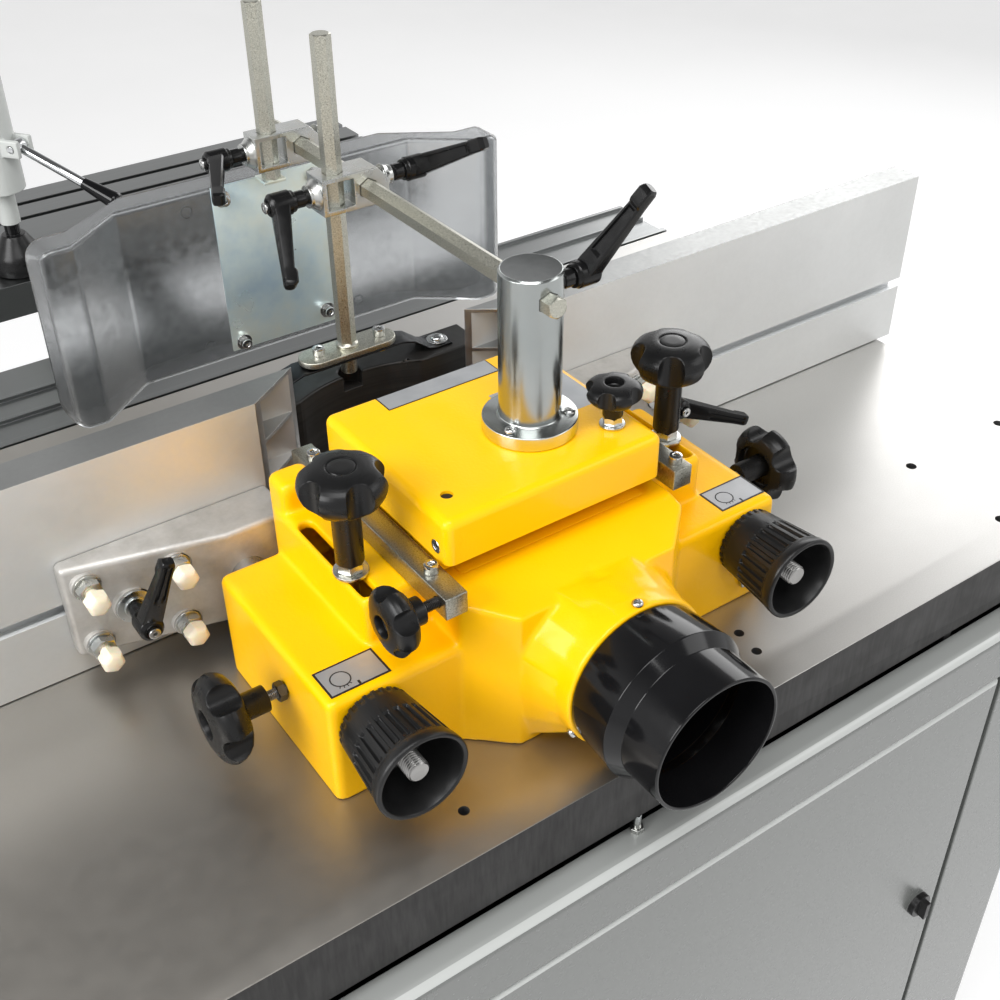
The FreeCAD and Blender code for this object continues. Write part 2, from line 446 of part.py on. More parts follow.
# ------------------------------------------------------------------ hood hold-down and side knobs
def table_knob():
    k = star((KNOB_X, KNOB_Y, T + 144), Z, X, 31, 30, 10.25, 48, 5, 5.0, 159)
    return fuse(k, cyl(KNOB_X, KNOB_Y, T + PAD_H + 0.4, Z, 12.75, 3), hexbar(KNOB_X, KNOB_Y, T + PAD_H + 2, Z, 17, 8.2, X))
tk = table_knob()
put("table_knob_left", tk)
put("table_knob_right", mirror_x(tk))

def side_knob(x0, ky):
    k = star((x0, ky, T + 55), X, Z, 34.0, 26, 10, 20, 5, 4.0, x0 - 187.0)
    return fuse(k, hexbar(WING_X1 + 0.6, ky, T + 55, X, 13, 6.5, Z))
put("side_knob_left", side_knob(218.0, KNOB_Y))
put("side_knob_right", mirror_x(side_knob(237.0, KNOB_YR)))

def cup():
    y0 = WING_Y1 + 0.8
    L = 64.0
    c = revolve([(7.4, 0), (27, 0), (28.5, 4), (34.0, L - 12), (35.0, L - 8), (35.0, L - 2), (33.5, L), (30.5, L), (26, 24), (12, 24), (12, 20), (7.4, 20)],
                (BAR_X, y0, T + BAR_Z), Y, Z)
    c = cut(c, cone(BAR_X, y0 + 23.9, T + BAR_Z, Y, 24.0, 30.5, L - 23.8), cyl(BAR_X, y0 - 1, T + BAR_Z, Y, 7.4, 40))
    return c.removeSplitter()
cu = cup()
put("fine_adjuster_left", cu)
put("fine_adjuster_right", mirror_x(cu))

# ------------------------------------------------------------------ fence holders, bolts, levers, fences
# rear face of the holder runs out towards the hood; every fastener has a square spot-face: x, z, radius, seat y
SEATS = [(287, 36.5, 11.6, 308.1), (287, 92, 11.6, 308.1), (223, 36.5, 11.6, 323.0), (223, 92, 11.6, 323.0), (258, SLOT_Z + 2, 15.2, 314.7)]
def holder():
    fb = FENCE_BACK + 0.6
    h = poly([(303, fb, T + 25), (303, 301.5, T + 25), (184, 331.5, T + 25), (130, 331.5, T + 25), (130, fb, T + 25)], (0, 0, 84))
    ee = [e for e in h.Edges if abs(e.CenterOfMass.y - fb) > 1.0 and not (abs(e.CenterOfMass.x - 184) < 1 and e.Length > 80)]
    try:
        h = h.makeFillet(5.0, ee)
    except Exception:
        pass
    for sx, sz, sr, sy in SEATS:
        h = fuse(h, cyl(sx, 295, T + sz, Y, sr, sy - 295))
    h = cut(h, *[cyl(sx, sy, T + sz, Y, sr, 40) for sx, sz, sr, sy in SEATS])
    bar = fuse(cyl(BAR_X, 325, T + BAR_Z, Y, BAR_R, 155), cyl(BAR_X, 478, T + BAR_Z, Y, 7.0, 101.5))
    h = cut(h, *[cyl(sx, 280, T + sz, Y, 4.6 if sr > 12 else 5.2, 60) for sx, sz, sr, sy in SEATS])
    return fuse(h, bar)
hl_ = holder()
put("fence_holder_left", hl_)
put("fence_holder_right", mirror_x(hl_))

def hbolts():
    out = []
    for bx, bz, sr, sy in SEATS[:4]:
        d = 0.0 if bx > 250 else 5.0
        out.append(fuse(cyl(bx, FENCE_BACK + 0.5, T + bz, Y, 4.9, sy - FENCE_BACK + 21.0 - d), hexbar(bx, sy + 15.9 - d, T + bz, Y, 16.5, 13, Z),
                        cyl(bx, sy + 0.1, T + bz, Y, 10.5, 2), hexbar(bx, sy + 2.0, T + bz, Y, 17, 8, Z)))
    return out
hb = hbolts()
put("holder_bolts_left", hb)
put("holder_bolts_right", [mirror_x(s) for s in hb])

def fence():
    y1, y0 = FENCE_BACK, FENCE_BACK - FENCE_T
    z0, z1 = T + 1.0, T + FENCE_H
    s = box(40, FENCE_END, y0, y1, z0, z1)
    w = 3.5
    zc = T + SLOT_Z + 2
    cuts = [box(30, 700, y0 + w, y1 - 4.5, z0 + w, zc - 19), box(30, 700, y0 + w, y1 - 4.5, zc + 19, T + 105.5), box(30, 700, y0 + w, y1 - 4.5, T + 109, T + 142.5),
            box(30, 700, y0 + w, y1 - 4.5, T + 146, z1 - w),
            box(30, 700, y0 + w, y1 - 19, zc - 15, zc + 15), box(30, 700, y1 - 4.5, y1 + 1, zc - 5, zc + 5), box(30, 700, y1 - 13.5, y1 - 4.4, zc - 10, zc + 10)]
    s = cut(s, *cuts)
    # inner end mitred back towards the spindle
    m = poly([(20, y0 - 5, z0 - 5), (82 - 48 * 5 / 33.0, y0 - 5, z0 - 5), (130 + 48 * 5 / 33.0, y1 + 5, z0 - 5), (20, y1 + 5, z0 - 5)], (0, 0, 220))
    return s.cut(m)
fl = fence()
put("fence_left", fl)
put("fence_right", mirror_x(fl))

def flever(up, sgn):
    zc = T + SLOT_Z + 2
    s = fuse(lever((258 * sgn, 318.3, zc), Y, up, 71, 318.3 - 278.0), cyl(258 * sgn, 314.8, zc, Y, 14, 3.6), cyl(258 * sgn, 277.6, zc, Y, 9.0, 6.0))
    return s
put("fence_lever_left", flever((-0.247, 0.30, 0.921), 1))
put("fence_lever_right", flever((-0.849, 0.44, -0.29), -1))

# ------------------------------------------------------------------ guard arm, clamps, shoe and clear guard
put("guard_arm", hexbar(ARM_X, 62, T + ARM_Z, Y, HEX_AF, 476 - 62, Z))
put("column_lever", lever((COL_X - COL_R - 0.4, COL_Y, T + ARM_Z), NX, (-0.418, 0.365, 0.831), 76, COL_R - 9.0, 4.0))

def cross_clamp(bx, by, hw):
    y0, y1 = by - hw, by + hw
    z0, z1 = T + ARM_Z - 15, T + ARM_Z + 15
    c = poly([(bx + 16, y0, z0), (bx + 16, y0, z1), (ARM_X - 9, y0, z1), (ARM_X - 19, y0, z1 - 11), (ARM_X - 19, y0, z0 + 3), (ARM_X - 16, y0, z0)], (0, y1 - y0, 0))
    c = cut(c, box(bx - 12, bx + 12, y0 - 1, y1 + 1, z0 + 4, z1 - 4), hexbar(ARM_X, y0 - 5, T + ARM_Z, Y, HEX_AF + 0.8, 60, Z), hexbar(bx, by, z0 - 5, Z, HEX_AF + 0.8, 60, Y))
    c = fuse(c, cyl(bx + 15.5, by, T + ARM_Z, X, 9, 8), cyl(ARM_X - 18.5, by, T + ARM_Z + 1.5, NX, 7.5, 8))
    return cut(c, cyl(bx + 8, by, T + ARM_Z, X, 4.4, 30), cyl(ARM_X - 5, by, T + ARM_Z + 1.5, NX, 4.4, 40))
put("shoe_clamp", cross_clamp(SHOE_X, SHOE_Y, 13.0))
put("guard_clamp", cross_clamp(GUARD_X, GUARD_Y, 11.0))
put("shoe_lever", lever((SHOE_X + 24.0, SHOE_Y, T + ARM_Z), X, (0.328, 0.735, -0.593), 71, 14.0))
put("guard_lever", lever((GUARD_X + 24.0, GUARD_Y, T + ARM_Z), X, (0.42, 0.90, -0.06), 72, 14.0))
put("arm_lever", lever((ARM_X - 27.0, SHOE_Y, T + ARM_Z + 1.5), NX, (-0.42, 0.80, 0.43), 74, 17.0))

bar1 = hexbar(SHOE_X, SHOE_Y, T + 160, Z, HEX_AF, BAR_TOP - 160, Y)
pl1 = fuse(box(-21, 41, SHOE_Y - 14, SHOE_Y + 14, T + 155, T + 160.5), cyl(-21, SHOE_Y, T + 155, Z, 14, 5.5), cyl(41, SHOE_Y, T + 155, Z, 14, 5.5))
s1 = [fuse(cyl(sx, SHOE_Y, T + 160, Z, 5.2, 7), cyl(sx, SHOE_Y, T + 148, Z, 3.0, 13)) for sx in (-21.0, 37.0)]
pl1 = fuse(bar1, pl1, cyl(SHOE_X, SHOE_Y, T + 136.0, Z, 7, 22), *s1)
put("shoe_bar", pl1)

blk = box(-112, 128, 197.5, 235.5, T + 56, T + 135)
blk = cut(blk, Part.makeCylinder(125, 200, V(8, SP_Y + 45, T + 30), V(0, 0, 1)), cyl(SHOE_X, SHOE_Y, T + 120, Z, 10, 20))
blk = blk.makeFillet(2.0, [e for e in blk.Edges if abs(e.CenterOfMass.z - (T + 135)) < 1e-6 and e.Length > 20])
def leaf(sgn):
    x0 = SHOE_X + sgn * 12
    pts = [(x0, 153.4), (SHOE_X + sgn * 48, 153.4), (SHOE_X + sgn * 60, 150), (SHOE_X + sgn * 74, 139.5), (SHOE_X + sgn * 82, 136.9), (SHOE_X + sgn * 98, 136.9)]
    top = [(px, pz) for px, pz in pts]
    bot = [(px, pz - 1.8) for px, pz in reversed(pts)]
    f = poly([(px, SHOE_Y - 12, T + pz) for px, pz in top + bot], (0, 24, 0))
    return f
spring = fuse(leaf(-1), leaf(1), cut(box(SHOE_X - 13, SHOE_X + 13, SHOE_Y - 12, SHOE_Y + 12, T + 151.6, T + 153.4), cyl(SHOE_X, SHOE_Y, T + 140, Z, 7.6, 30)))
spring = cut(spring, *[cyl(sx, SHOE_Y, T + 140, Z, 3.6, 30) for sx in (-21.0, 37.0)])
spring = cut(spring, cyl(SHOE_X, SHOE_Y, T + 140, Z, 7.6, 30))
ss = [fuse(cyl(SHOE_X + s_ * 89, SHOE_Y, T + 137.0, Z, 5.5, 3), cyl(SHOE_X + s_ * 89, SHOE_Y, T + 137.0, Z, 9.0, 0.8)) for s_ in (-1, 1)]
put("pressure_shoe", [blk, spring] + ss)

# clear guard: bracket plate with top flange and bar
gpl = fuse(box(-41, 64, 94.5, 96.5, T + 117, T + 273), box(2, 22, 94.5, 114, T + 271, T + 274))
bar2 = hexbar(GUARD_X, GUARD_Y, T + 273, Z, HEX_AF, BAR_TOP - 273, Y)
gs = [fuse(cyl(sx, 96.4, T + sz, Y, 7.5, 1.5), cyl(sx, 97.6, T + sz, Y, 4.8, 7)) for sx, sz in ((-33, 130), (53, 124), (-33, 262), (55, 262))]
put("guard_bar", fuse(gpl, bar2, *gs))

# clear tray: flat middle, wings bent towards the fences, rim all round drawn towards the operator
GC, GZ0, GZ1 = 8.0, T + 108.5, T + 272.0
def tray(d, r, far):
    side = [(219 - d, 104), (213 - d, 124 - 0.6 * d), (206 - 0.7 * d, 131 - 0.9 * d), (196, 133.5 - d), (186 + 0.3 * d, 131.5 - d), (143 + 0.5 * d, 96.6 - d), (135 + 0.3 * d, 94.2 - d)]
    near = [(GC + x_, y_) for x_, y_ in side] + [(GC - x_, y_) for x_, y_ in reversed(side)]
    if far:
        back = [(GC - 219 + d, 40), (GC + 219 - d, 40)]
    else:
        back = [(GC - 183, 104), (GC - 124.5, 66), (GC + 124.5, 66), (GC + 183, 104)]
    v = poly([(x_, y_, GZ0 + d) for x_, y_ in near + back], (0, 0, GZ1 - GZ0 - 2 * d))
    slab = box(GC - 219 + d, GC + 219 - d, 30, 150, GZ0 + d, GZ1 - d)
    slab = slab.makeFillet(r, [e for e in slab.Edges if e.Length > 119 and e.Length < 121 and abs(e.CenterOfMass.y - 90) < 1e-6])
    return v.common(slab)
g = tray(0, 16.0, False).cut(tray(3.0, 13.0, True))
put("clear_guard", g)
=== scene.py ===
import math

import bmesh
import bpy
import numpy as np
from mathutils import Matrix, Vector
from mathutils.bvhtree import BVHTree


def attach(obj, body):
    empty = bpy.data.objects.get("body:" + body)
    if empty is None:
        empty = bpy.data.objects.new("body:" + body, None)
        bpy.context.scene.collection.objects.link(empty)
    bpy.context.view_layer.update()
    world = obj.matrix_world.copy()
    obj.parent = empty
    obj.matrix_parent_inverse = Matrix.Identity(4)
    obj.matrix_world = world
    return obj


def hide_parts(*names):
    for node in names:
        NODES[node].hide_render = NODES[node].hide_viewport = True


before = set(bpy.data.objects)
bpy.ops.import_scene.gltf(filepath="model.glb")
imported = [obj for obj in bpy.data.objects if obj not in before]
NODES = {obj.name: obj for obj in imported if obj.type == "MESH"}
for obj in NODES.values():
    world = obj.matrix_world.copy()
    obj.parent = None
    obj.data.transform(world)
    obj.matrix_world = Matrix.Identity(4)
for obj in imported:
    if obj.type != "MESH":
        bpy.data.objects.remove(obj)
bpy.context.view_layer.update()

T = 880.0                 # table top above the floor, mm; shapes below are written in mm
TAU = 2 * math.pi
X, Y, Z = (1, 0, 0), (0, 1, 0), (0, 0, 1)
NX, NY, NZ = (-1, 0, 0), (0, -1, 0), (0, 0, -1)


# ---------------------------------------------------------------- material building blocks
class Mat:
    def __init__(self, name):
        self.m = bpy.data.materials.new(name)
        self.m.use_nodes = True
        self.t = self.m.node_tree
        self.t.nodes.clear()
        out = self.t.nodes.new("ShaderNodeOutputMaterial")
        self.b = self.t.nodes.new("ShaderNodeBsdfPrincipled")
        self.t.links.new(self.b.outputs[0], out.inputs[0])
        self.tc = None
        self.normal = None

    def set(self, **kw):
        for k, v in kw.items():
            self.b.inputs[k.replace("_", " ")].default_value = v
        return self

    def coord(self, scale=(1, 1, 1), rot=(0, 0, 0)):
        if self.tc is None:
            self.tc = self.t.nodes.new("ShaderNodeTexCoord")
        mp = self.t.nodes.new("ShaderNodeMapping")
        mp.inputs["Scale"].default_value = scale
        mp.inputs["Rotation"].default_value = [math.radians(r) for r in rot]
        self.t.links.new(self.tc.outputs["Object"], mp.inputs["Vector"])
        return mp.outputs[0]

    def noise(self, scale, detail=2.0, rough=0.5, stretch=(1, 1, 1), rot=(0, 0, 0), distort=0.0):
        n = self.t.nodes.new("ShaderNodeTexNoise")
        n.inputs["Scale"].default_value = scale
        n.inputs["Detail"].default_value = detail
        n.inputs["Roughness"].default_value = rough
        n.inputs["Distortion"].default_value = distort
        self.t.links.new(self.coord(stretch, rot), n.inputs["Vector"])
        return n.outputs["Fac"]

    def voronoi(self, scale, stretch=(1, 1, 1)):
        n = self.t.nodes.new("ShaderNodeTexVoronoi")
        n.inputs["Scale"].default_value = scale
        self.t.links.new(self.coord(stretch), n.inputs["Vector"])
        return n.outputs["Distance"]

    def along(self, axis):
        s = self.t.nodes.new("ShaderNodeSeparateXYZ")
        self.t.links.new(self.coord((1, 1, 1)), s.inputs[0])
        return s.outputs[axis]

    def ramp(self, fac, stops):
        r = self.t.nodes.new("ShaderNodeValToRGB")
        el = r.color_ramp.elements
        while len(el) < len(stops):
            el.new(0.5)
        for e, (pos, col) in zip(el, stops):
            e.position = pos
            e.color = (*col, 1.0) if len(col) == 3 else col
        self.t.links.new(fac, r.inputs[0])
        return r.outputs[0]

    def remap(self, fac, lo, hi, a, b):
        r = self.t.nodes.new("ShaderNodeMapRange")
        for k, v in (("From Min", lo), ("From Max", hi), ("To Min", a), ("To Max", b)):
            r.inputs[k].default_value = v
        self.t.links.new(fac, r.inputs["Value"])
        return r.outputs[0]

    def mixc(self, fac, a, b, mode="MIX"):
        n = self.t.nodes.new("ShaderNodeMix")
        n.data_type = "RGBA"
        n.blend_type = mode
        ins = [i for i in n.inputs if i.enabled]
        for sock, val in zip(ins, (fac, a, b)):
            if hasattr(val, "is_output"):
                self.t.links.new(val, sock)
            elif isinstance(val, (tuple, list)):
                sock.default_value = (*val, 1.0)
            else:
                sock.default_value = val
        return [o for o in n.outputs if o.enabled][0]

    def color(self, sock):
        self.t.links.new(sock, self.b.inputs["Base Color"])
        return self

    def rough(self, fac, a, b, lo=0.3, hi=0.7):
        self.t.links.new(self.remap(fac, lo, hi, a, b), self.b.inputs["Roughness"])
        return self

    def bump(self, height, strength, dist):
        n = self.t.nodes.new("ShaderNodeBump")
        n.inputs["Strength"].default_value = strength
        n.inputs["Distance"].default_value = dist
        self.t.links.new(height, n.inputs["Height"])
        if self.normal is not None:
            self.t.links.new(self.normal, n.inputs["Normal"])
        self.normal = n.outputs[0]
        self.t.links.new(self.normal, self.b.inputs["Normal"])
        return self


def yellow_paint():
    k = Mat("yellow_powder_coat").set(IOR=1.5, Coat_Weight=0.20, Coat_Roughness=0.11, Specular_IOR_Level=0.16)
    n = k.noise(7.0, 3)
    k.color(k.ramp(n, [(0.3, (0.97, 0.505, 0.0)), (0.7, (1.0, 0.540, 0.0008))]))
    k.rough(k.noise(60.0, 2), 0.30, 0.40)
    k.bump(k.noise(430.0, 1.5, 0.4), 0.22, 0.0006)
    k.bump(k.noise(1500.0, 2), 0.06, 0.0002)
    return k.m


def paint(name, c1, c2, rough=(0.4, 0.5), grain=900.0, coat=0.0, strength=0.12):
    k = Mat(name).set(Specular_IOR_Level=0.45, Coat_Weight=coat, Coat_Roughness=0.2)
    k.color(k.ramp(k.noise(4.0, 1.5), [(0.25, c1), (0.75, c2)]))
    k.rough(k.noise(160.0, 2), *rough)
    k.bump(k.noise(grain, 1.5), strength, 0.0003)
    return k.m


def plastic(name, c1, c2, rough, grain, strength, spec=0.5, coat=0.0):
    k = Mat(name).set(Specular_IOR_Level=spec, Coat_Weight=coat, Coat_Roughness=0.1)
    k.color(k.ramp(k.noise(18.0, 3), [(0.3, c1), (0.7, c2)]))
    k.rough(k.noise(85.0, 3), *rough)
    k.bump(k.noise(grain, 2), strength, 0.00025)
    return k.m


def metal(name, stops, rough, blotch=22.0, grain=900.0, strength=0.05, stretch=(1, 1, 1), rot=(0, 0, 0), lines=None, metallic=1.0, rscale=70.0, dist=0.0003):
    k = Mat(name).set(Metallic=metallic)
    k.color(k.ramp(k.noise(blotch, 4, 0.6), stops))
    k.rough(k.noise(rscale, 3, 0.55, stretch, rot), *rough)
    k.bump(k.noise(grain, 2, 0.5, stretch, rot), strength, dist)
    if lines:
        k.bump(k.noise(1.0, 2, 0.5, lines[0], rot), lines[1], 0.0003)
    return k.m


def spangled(name, dark, mid, light, rough):
    """Hot zinc on drawn bar: small crystals that differ in tone and gloss."""
    k = Mat(name).set(Metallic=1.0)
    v = k.noise(1000.0, 2.5, 0.65)
    big = k.noise(30.0, 3)
    c = k.ramp(v, [(0.34, dark), (0.5, mid), (0.66, light)])
    k.color(k.mixc(k.remap(big, 0.3, 0.7, 0.0, 0.45), c, mid))
    k.rough(v, *rough)
    k.bump(v, 0.16, 0.00025)
    return k.m


def table_top():
    k = Mat("ground_iron_top").set(Metallic=0.92)
    blot = k.noise(3.2, 4, 0.55)
    fine = k.noise(900.0, 2, 0.6)
    # painted shade and light: the base colour runs from a darker tone towards +X, beside the hood, to a lighter tone
    # towards -X. It stands in for the hood's shade on one side and bright light on the other.
    shaded_side_tone = k.ramp(blot, [(0.3, (0.332, 0.314, 0.288)), (0.7, (0.360, 0.342, 0.314))])
    lit_side_tone = k.ramp(blot, [(0.3, (0.575, 0.568, 0.552)), (0.7, (0.61, 0.602, 0.585))])
    c = k.mixc(k.remap(k.along("X"), -0.40, 0.12, 1.0, 0.0), shaded_side_tone, lit_side_tone)
    k.color(k.mixc(k.remap(fine, 0.35, 0.65, 0.0, 0.22), c, (0.36, 0.345, 0.32)))
    k.rough(k.noise(60.0, 3), 0.37, 0.405)
    k.bump(k.noise(1.0, 2, 0.5, (60, 1500, 1)), 0.045, 0.0002)
    k.bump(fine, 0.05, 0.0002)
    return k.m


def milled_edge():
    k = Mat("milled_iron_edge").set(Metallic=0.75)
    arcs = k.noise(1.0, 2, 0.5, (340, 340, 45), (0, 38, 0))
    k.color(k.ramp(arcs, [(0.3, (0.036, 0.035, 0.035)), (0.7, (0.050, 0.049, 0.048))]))
    k.rough(k.noise(40.0, 3), 0.42, 0.56)
    k.bump(arcs, 0.04, 0.0003)
    k.bump(k.noise(1200.0, 2), 0.08, 0.0002)
    return k.m


def clear_plastic():
    k = Mat("clear_polycarbonate").set(Transmission_Weight=1.0, IOR=1.45, Specular_IOR_Level=0.22)
    n = k.noise(9.0, 3)
    k.color(k.ramp(n, [(0.3, (0.47, 0.485, 0.495)), (0.7, (0.55, 0.565, 0.575))]))
    k.rough(k.noise(120.0, 3), 0.16, 0.27)
    k.bump(k.noise(35.0, 2), 0.04, 0.0006)
    return k.m


def plate_metal():
    k = Mat("plain_plate").set(Metallic=0.55)
    k.color(k.ramp(k.noise(40.0, 2), [(0.3, (0.36, 0.37, 0.385)), (0.7, (0.43, 0.44, 0.45))]))
    k.rough(k.noise(1.0, 2, 0.5, (30, 900, 30)), 0.33, 0.45)
    k.bump(k.noise(1.0, 2, 0.5, (30, 1200, 30)), 0.06, 0.0002)
    return k.m


def laminate():
    k = Mat("dark_laminate").set(Specular_IOR_Level=0.5)
    ply = k.noise(1.0, 2, 0.5, (6, 6, 420))
    k.color(k.ramp(ply, [(0.35, (0.010, 0.0095, 0.009)), (0.65, (0.021, 0.0195, 0.018))]))
    k.rough(k.noise(70.0, 3), 0.36, 0.52)
    k.bump(ply, 0.10, 0.0003)
    k.bump(k.noise(700.0, 2), 0.10, 0.0002)
    return k.m


def pale_floor():
    k = Mat("pale_floor")
    k.color(k.ramp(k.noise(1.6, 3), [(0.3, (0.53, 0.53, 0.53)), (0.7, (0.56, 0.56, 0.56))]))
    k.rough(k.noise(8.0, 3), 0.55, 0.7)
    k.bump(k.noise(240.0, 2), 0.03, 0.0004)
    k.set(Emission_Color=(1.0, 1.0, 1.0, 1.0), Emission_Strength=0.52)
    return k.m


M = {
    "yellow": yellow_paint(),
    "grey": paint("grey_powder_coat", (0.145, 0.152, 0.145), (0.153, 0.160, 0.153), (0.264, 0.276), 240.0, 0.4, 0.004),
    # lighter copy of the grey paint for the cabinet's top flange: painted light where the table's overhang shades it
    "grey_painted_lit_flange": paint("grey_powder_coat_painted_lit_flange", (0.315, 0.326, 0.315), (0.335, 0.346, 0.335), (0.242, 0.254), 240.0, 0.4, 0.004),
    # much lighter copy of the grey paint: a painted highlight along the cabinet's top bend and the door's top edge
    "grey_painted_highlight": paint("grey_powder_coat_painted_highlight", (0.49, 0.505, 0.49), (0.52, 0.535, 0.52), (0.242, 0.254), 240.0, 0.4, 0.004),
    "body_grey": paint("hammered_grey", (0.47, 0.49, 0.47), (0.54, 0.555, 0.54), (0.36, 0.46), 520.0, 0.1, 0.3),
    "motor": paint("motor_grey", (0.085, 0.10, 0.118), (0.115, 0.13, 0.15), (0.35, 0.5), 500.0),
    "knob": plastic("knob_black", (0.0060, 0.0060, 0.0062), (0.0092, 0.0092, 0.0094), (0.24, 0.36), 1700.0, 0.10, 0.26),
    "lever": plastic("lever_black", (0.0045, 0.0045, 0.0047), (0.0072, 0.0072, 0.0075), (0.17, 0.28), 1300.0, 0.10, 0.26),
    "cup": plastic("cup_black", (0.0070, 0.0070, 0.0072), (0.0110, 0.0110, 0.0112), (0.30, 0.42), 1500.0, 0.14, 0.32),
    "gloss": plastic("gloss_black", (0.0045, 0.0045, 0.005), (0.0075, 0.0075, 0.0082), (0.10, 0.145), 420.0, 0.006, 0.24, 0.06),
    "rubber": plastic("rubber_black", (0.009, 0.009, 0.009), (0.015, 0.015, 0.0145), (0.48, 0.62), 900.0, 0.16),
    "green": plastic("green_button", (0.012, 0.20, 0.035), (0.02, 0.25, 0.045), (0.22, 0.32), 900.0, 0.06),
    "red": plastic("red_button", (0.42, 0.010, 0.009), (0.50, 0.016, 0.012), (0.22, 0.32), 900.0, 0.06),
    "panel": plastic("panel_black", (0.018, 0.018, 0.02), (0.026, 0.026, 0.028), (0.42, 0.55), 1300.0, 0.2),
    "zinc": metal("bright_zinc", [(0.3, (0.48, 0.51, 0.52)), (0.5, (0.58, 0.59, 0.58)), (0.7, (0.54, 0.535, 0.49))], (0.20, 0.36), 26.0, 800.0, 0.07),
    "zinc_turned": metal("turned_zinc", [(0.3, (0.325, 0.352, 0.350)), (0.6, (0.40, 0.418, 0.41))], (0.19, 0.24), 8.0, 900.0, 0.006, lines=((2, 2, 1500), 0.04)),
    # lighter copy of the turned zinc: a painted sheen on the column flange's rim
    "zinc_painted_sheen_rim": metal("turned_zinc_painted_sheen_rim", [(0.3, (0.60, 0.635, 0.632)), (0.6, (0.68, 0.70, 0.69))], (0.18, 0.25), 10.0, 900.0, 0.008, lines=((2, 2, 1500), 0.04)),
    "zinc_sheet": metal("blue_zinc_sheet", [(0.26, (0.56, 0.73, 0.84)), (0.42, (0.70, 0.85, 0.89)), (0.56, (0.79, 0.89, 0.86)), (0.74, (0.84, 0.86, 0.72))], (0.26, 0.44), 16.0, 500.0, 0.05, rscale=30.0, metallic=0.6),
    "zinc_bar": spangled("zinc_drawn_bar", (0.30, 0.295, 0.25), (0.50, 0.495, 0.43), (0.68, 0.67, 0.60), (0.26, 0.46)),
    "bar_zinc": spangled("zinc_flat_bar", (0.20, 0.198, 0.165), (0.34, 0.335, 0.29), (0.50, 0.49, 0.43), (0.26, 0.44)),
    "steel": metal("drawn_steel", [(0.3, (0.48, 0.465, 0.44)), (0.7, (0.60, 0.585, 0.56))], (0.25, 0.42), 30.0, 700.0, 0.08, (1, 0.06, 1)),
    "rod": metal("rod_steel", [(0.3, (0.30, 0.295, 0.288)), (0.7, (0.40, 0.392, 0.382))], (0.26, 0.40), 60.0, 900.0, 0.06),
    "dark_steel": metal("blackened_steel", [(0.3, (0.07, 0.068, 0.065)), (0.7, (0.12, 0.118, 0.115))], (0.32, 0.46), 60.0, 900.0, 0.06),
    # near-black copy of the turned metal: painted shade on the column's up-facing top face
    "turned_painted_shade_top": metal("turned_face_painted_shade", [(0.3, (0.075, 0.08, 0.08)), (0.7, (0.115, 0.12, 0.12))], (0.30, 0.44), 40.0, 1200.0, 0.08),
    "fence": metal("anodised_fence", [(0.3, (0.655, 0.66, 0.65)), (0.7, (0.715, 0.72, 0.71))], (0.46, 0.56), 9.0, 1500.0, 0.10, (1, 1, 1), lines=((9, 500, 700), 0.07), rscale=220.0, metallic=0.72),
    "fence_top": metal("anodised_edge", [(0.3, (0.30, 0.305, 0.30)), (0.7, (0.36, 0.365, 0.36))], (0.34, 0.46), 9.0, 1500.0, 0.08, lines=((9, 500, 700), 0.07), rscale=220.0, metallic=0.9),
    # lighter, less metallic copy of the anodised finish for the slot's inside: painted light standing in for light
    # bounced into the slot
    "fence_slot_painted_light": metal("anodised_slot_painted_light", [(0.3, (0.70, 0.715, 0.72)), (0.7, (0.76, 0.775, 0.78))], (0.42, 0.54), 12.0, 1200.0, 0.08, lines=((9, 500, 700), 0.08), metallic=0.25),
    "fence_in": metal("anodised_pocket", [(0.3, (0.56, 0.565, 0.56)), (0.7, (0.63, 0.635, 0.63))], (0.42, 0.54), 9.0, 1300.0, 0.08, lines=((9, 500, 700), 0.06), metallic=0.6),
    "alu": metal("extruded_aluminium", [(0.3, (0.222, 0.229, 0.229)), (0.7, (0.248, 0.255, 0.255))], (0.29, 0.34), 3.0, 1100.0, 0.03, (0.04, 1, 1), lines=((6, 420, 600), 0.10), rscale=180.0),
    "cast_alu": metal("tumbled_cast_aluminium", [(0.28, (0.44, 0.425, 0.40)), (0.5, (0.525, 0.51, 0.485)), (0.72, (0.59, 0.575, 0.55))], (0.46, 0.60), 48.0, 620.0, 0.16, rscale=300.0, dist=0.0004, metallic=0.75),
    "mitre": metal("sawn_aluminium", [(0.3, (0.50, 0.505, 0.51)), (0.7, (0.60, 0.605, 0.61))], (0.3, 0.44), 20.0, 900.0, 0.06, lines=((40, 40, 900), 0.14)),
    "iron": metal("cast_iron_raw", [(0.3, (0.10, 0.10, 0.102)), (0.7, (0.16, 0.158, 0.155))], (0.48, 0.64), 40.0, 420.0, 0.28, metallic=0.85, dist=0.0005),
    "chrome": metal("bright_chrome", [(0.3, (0.60, 0.61, 0.62)), (0.7, (0.66, 0.67, 0.68))], (0.05, 0.12), 20.0, 600.0, 0.012),
    "bright": metal("bright_screw", [(0.3, (0.52, 0.53, 0.53)), (0.7, (0.62, 0.62, 0.61))], (0.16, 0.28), 90.0, 900.0, 0.05),
    "ring_iron": metal("ground_ring", [(0.3, (0.40, 0.39, 0.37)), (0.7, (0.50, 0.485, 0.465))], (0.24, 0.36), 20.0, 1200.0, 0.06),
    "top": table_top(),
    "edge": milled_edge(),
    "clear": clear_plastic(),
    "plate": plate_metal(),
    "ink": plastic("plate_ink", (0.006, 0.006, 0.006), (0.010, 0.010, 0.010), (0.45, 0.6), 600.0, 0.05),
    "laminate": laminate(),
    "spring": metal("blued_spring", [(0.3, (0.025, 0.025, 0.026)), (0.7, (0.05, 0.05, 0.052))], (0.26, 0.4), 30.0, 700.0, 0.06),
    "floor": pale_floor(),
}


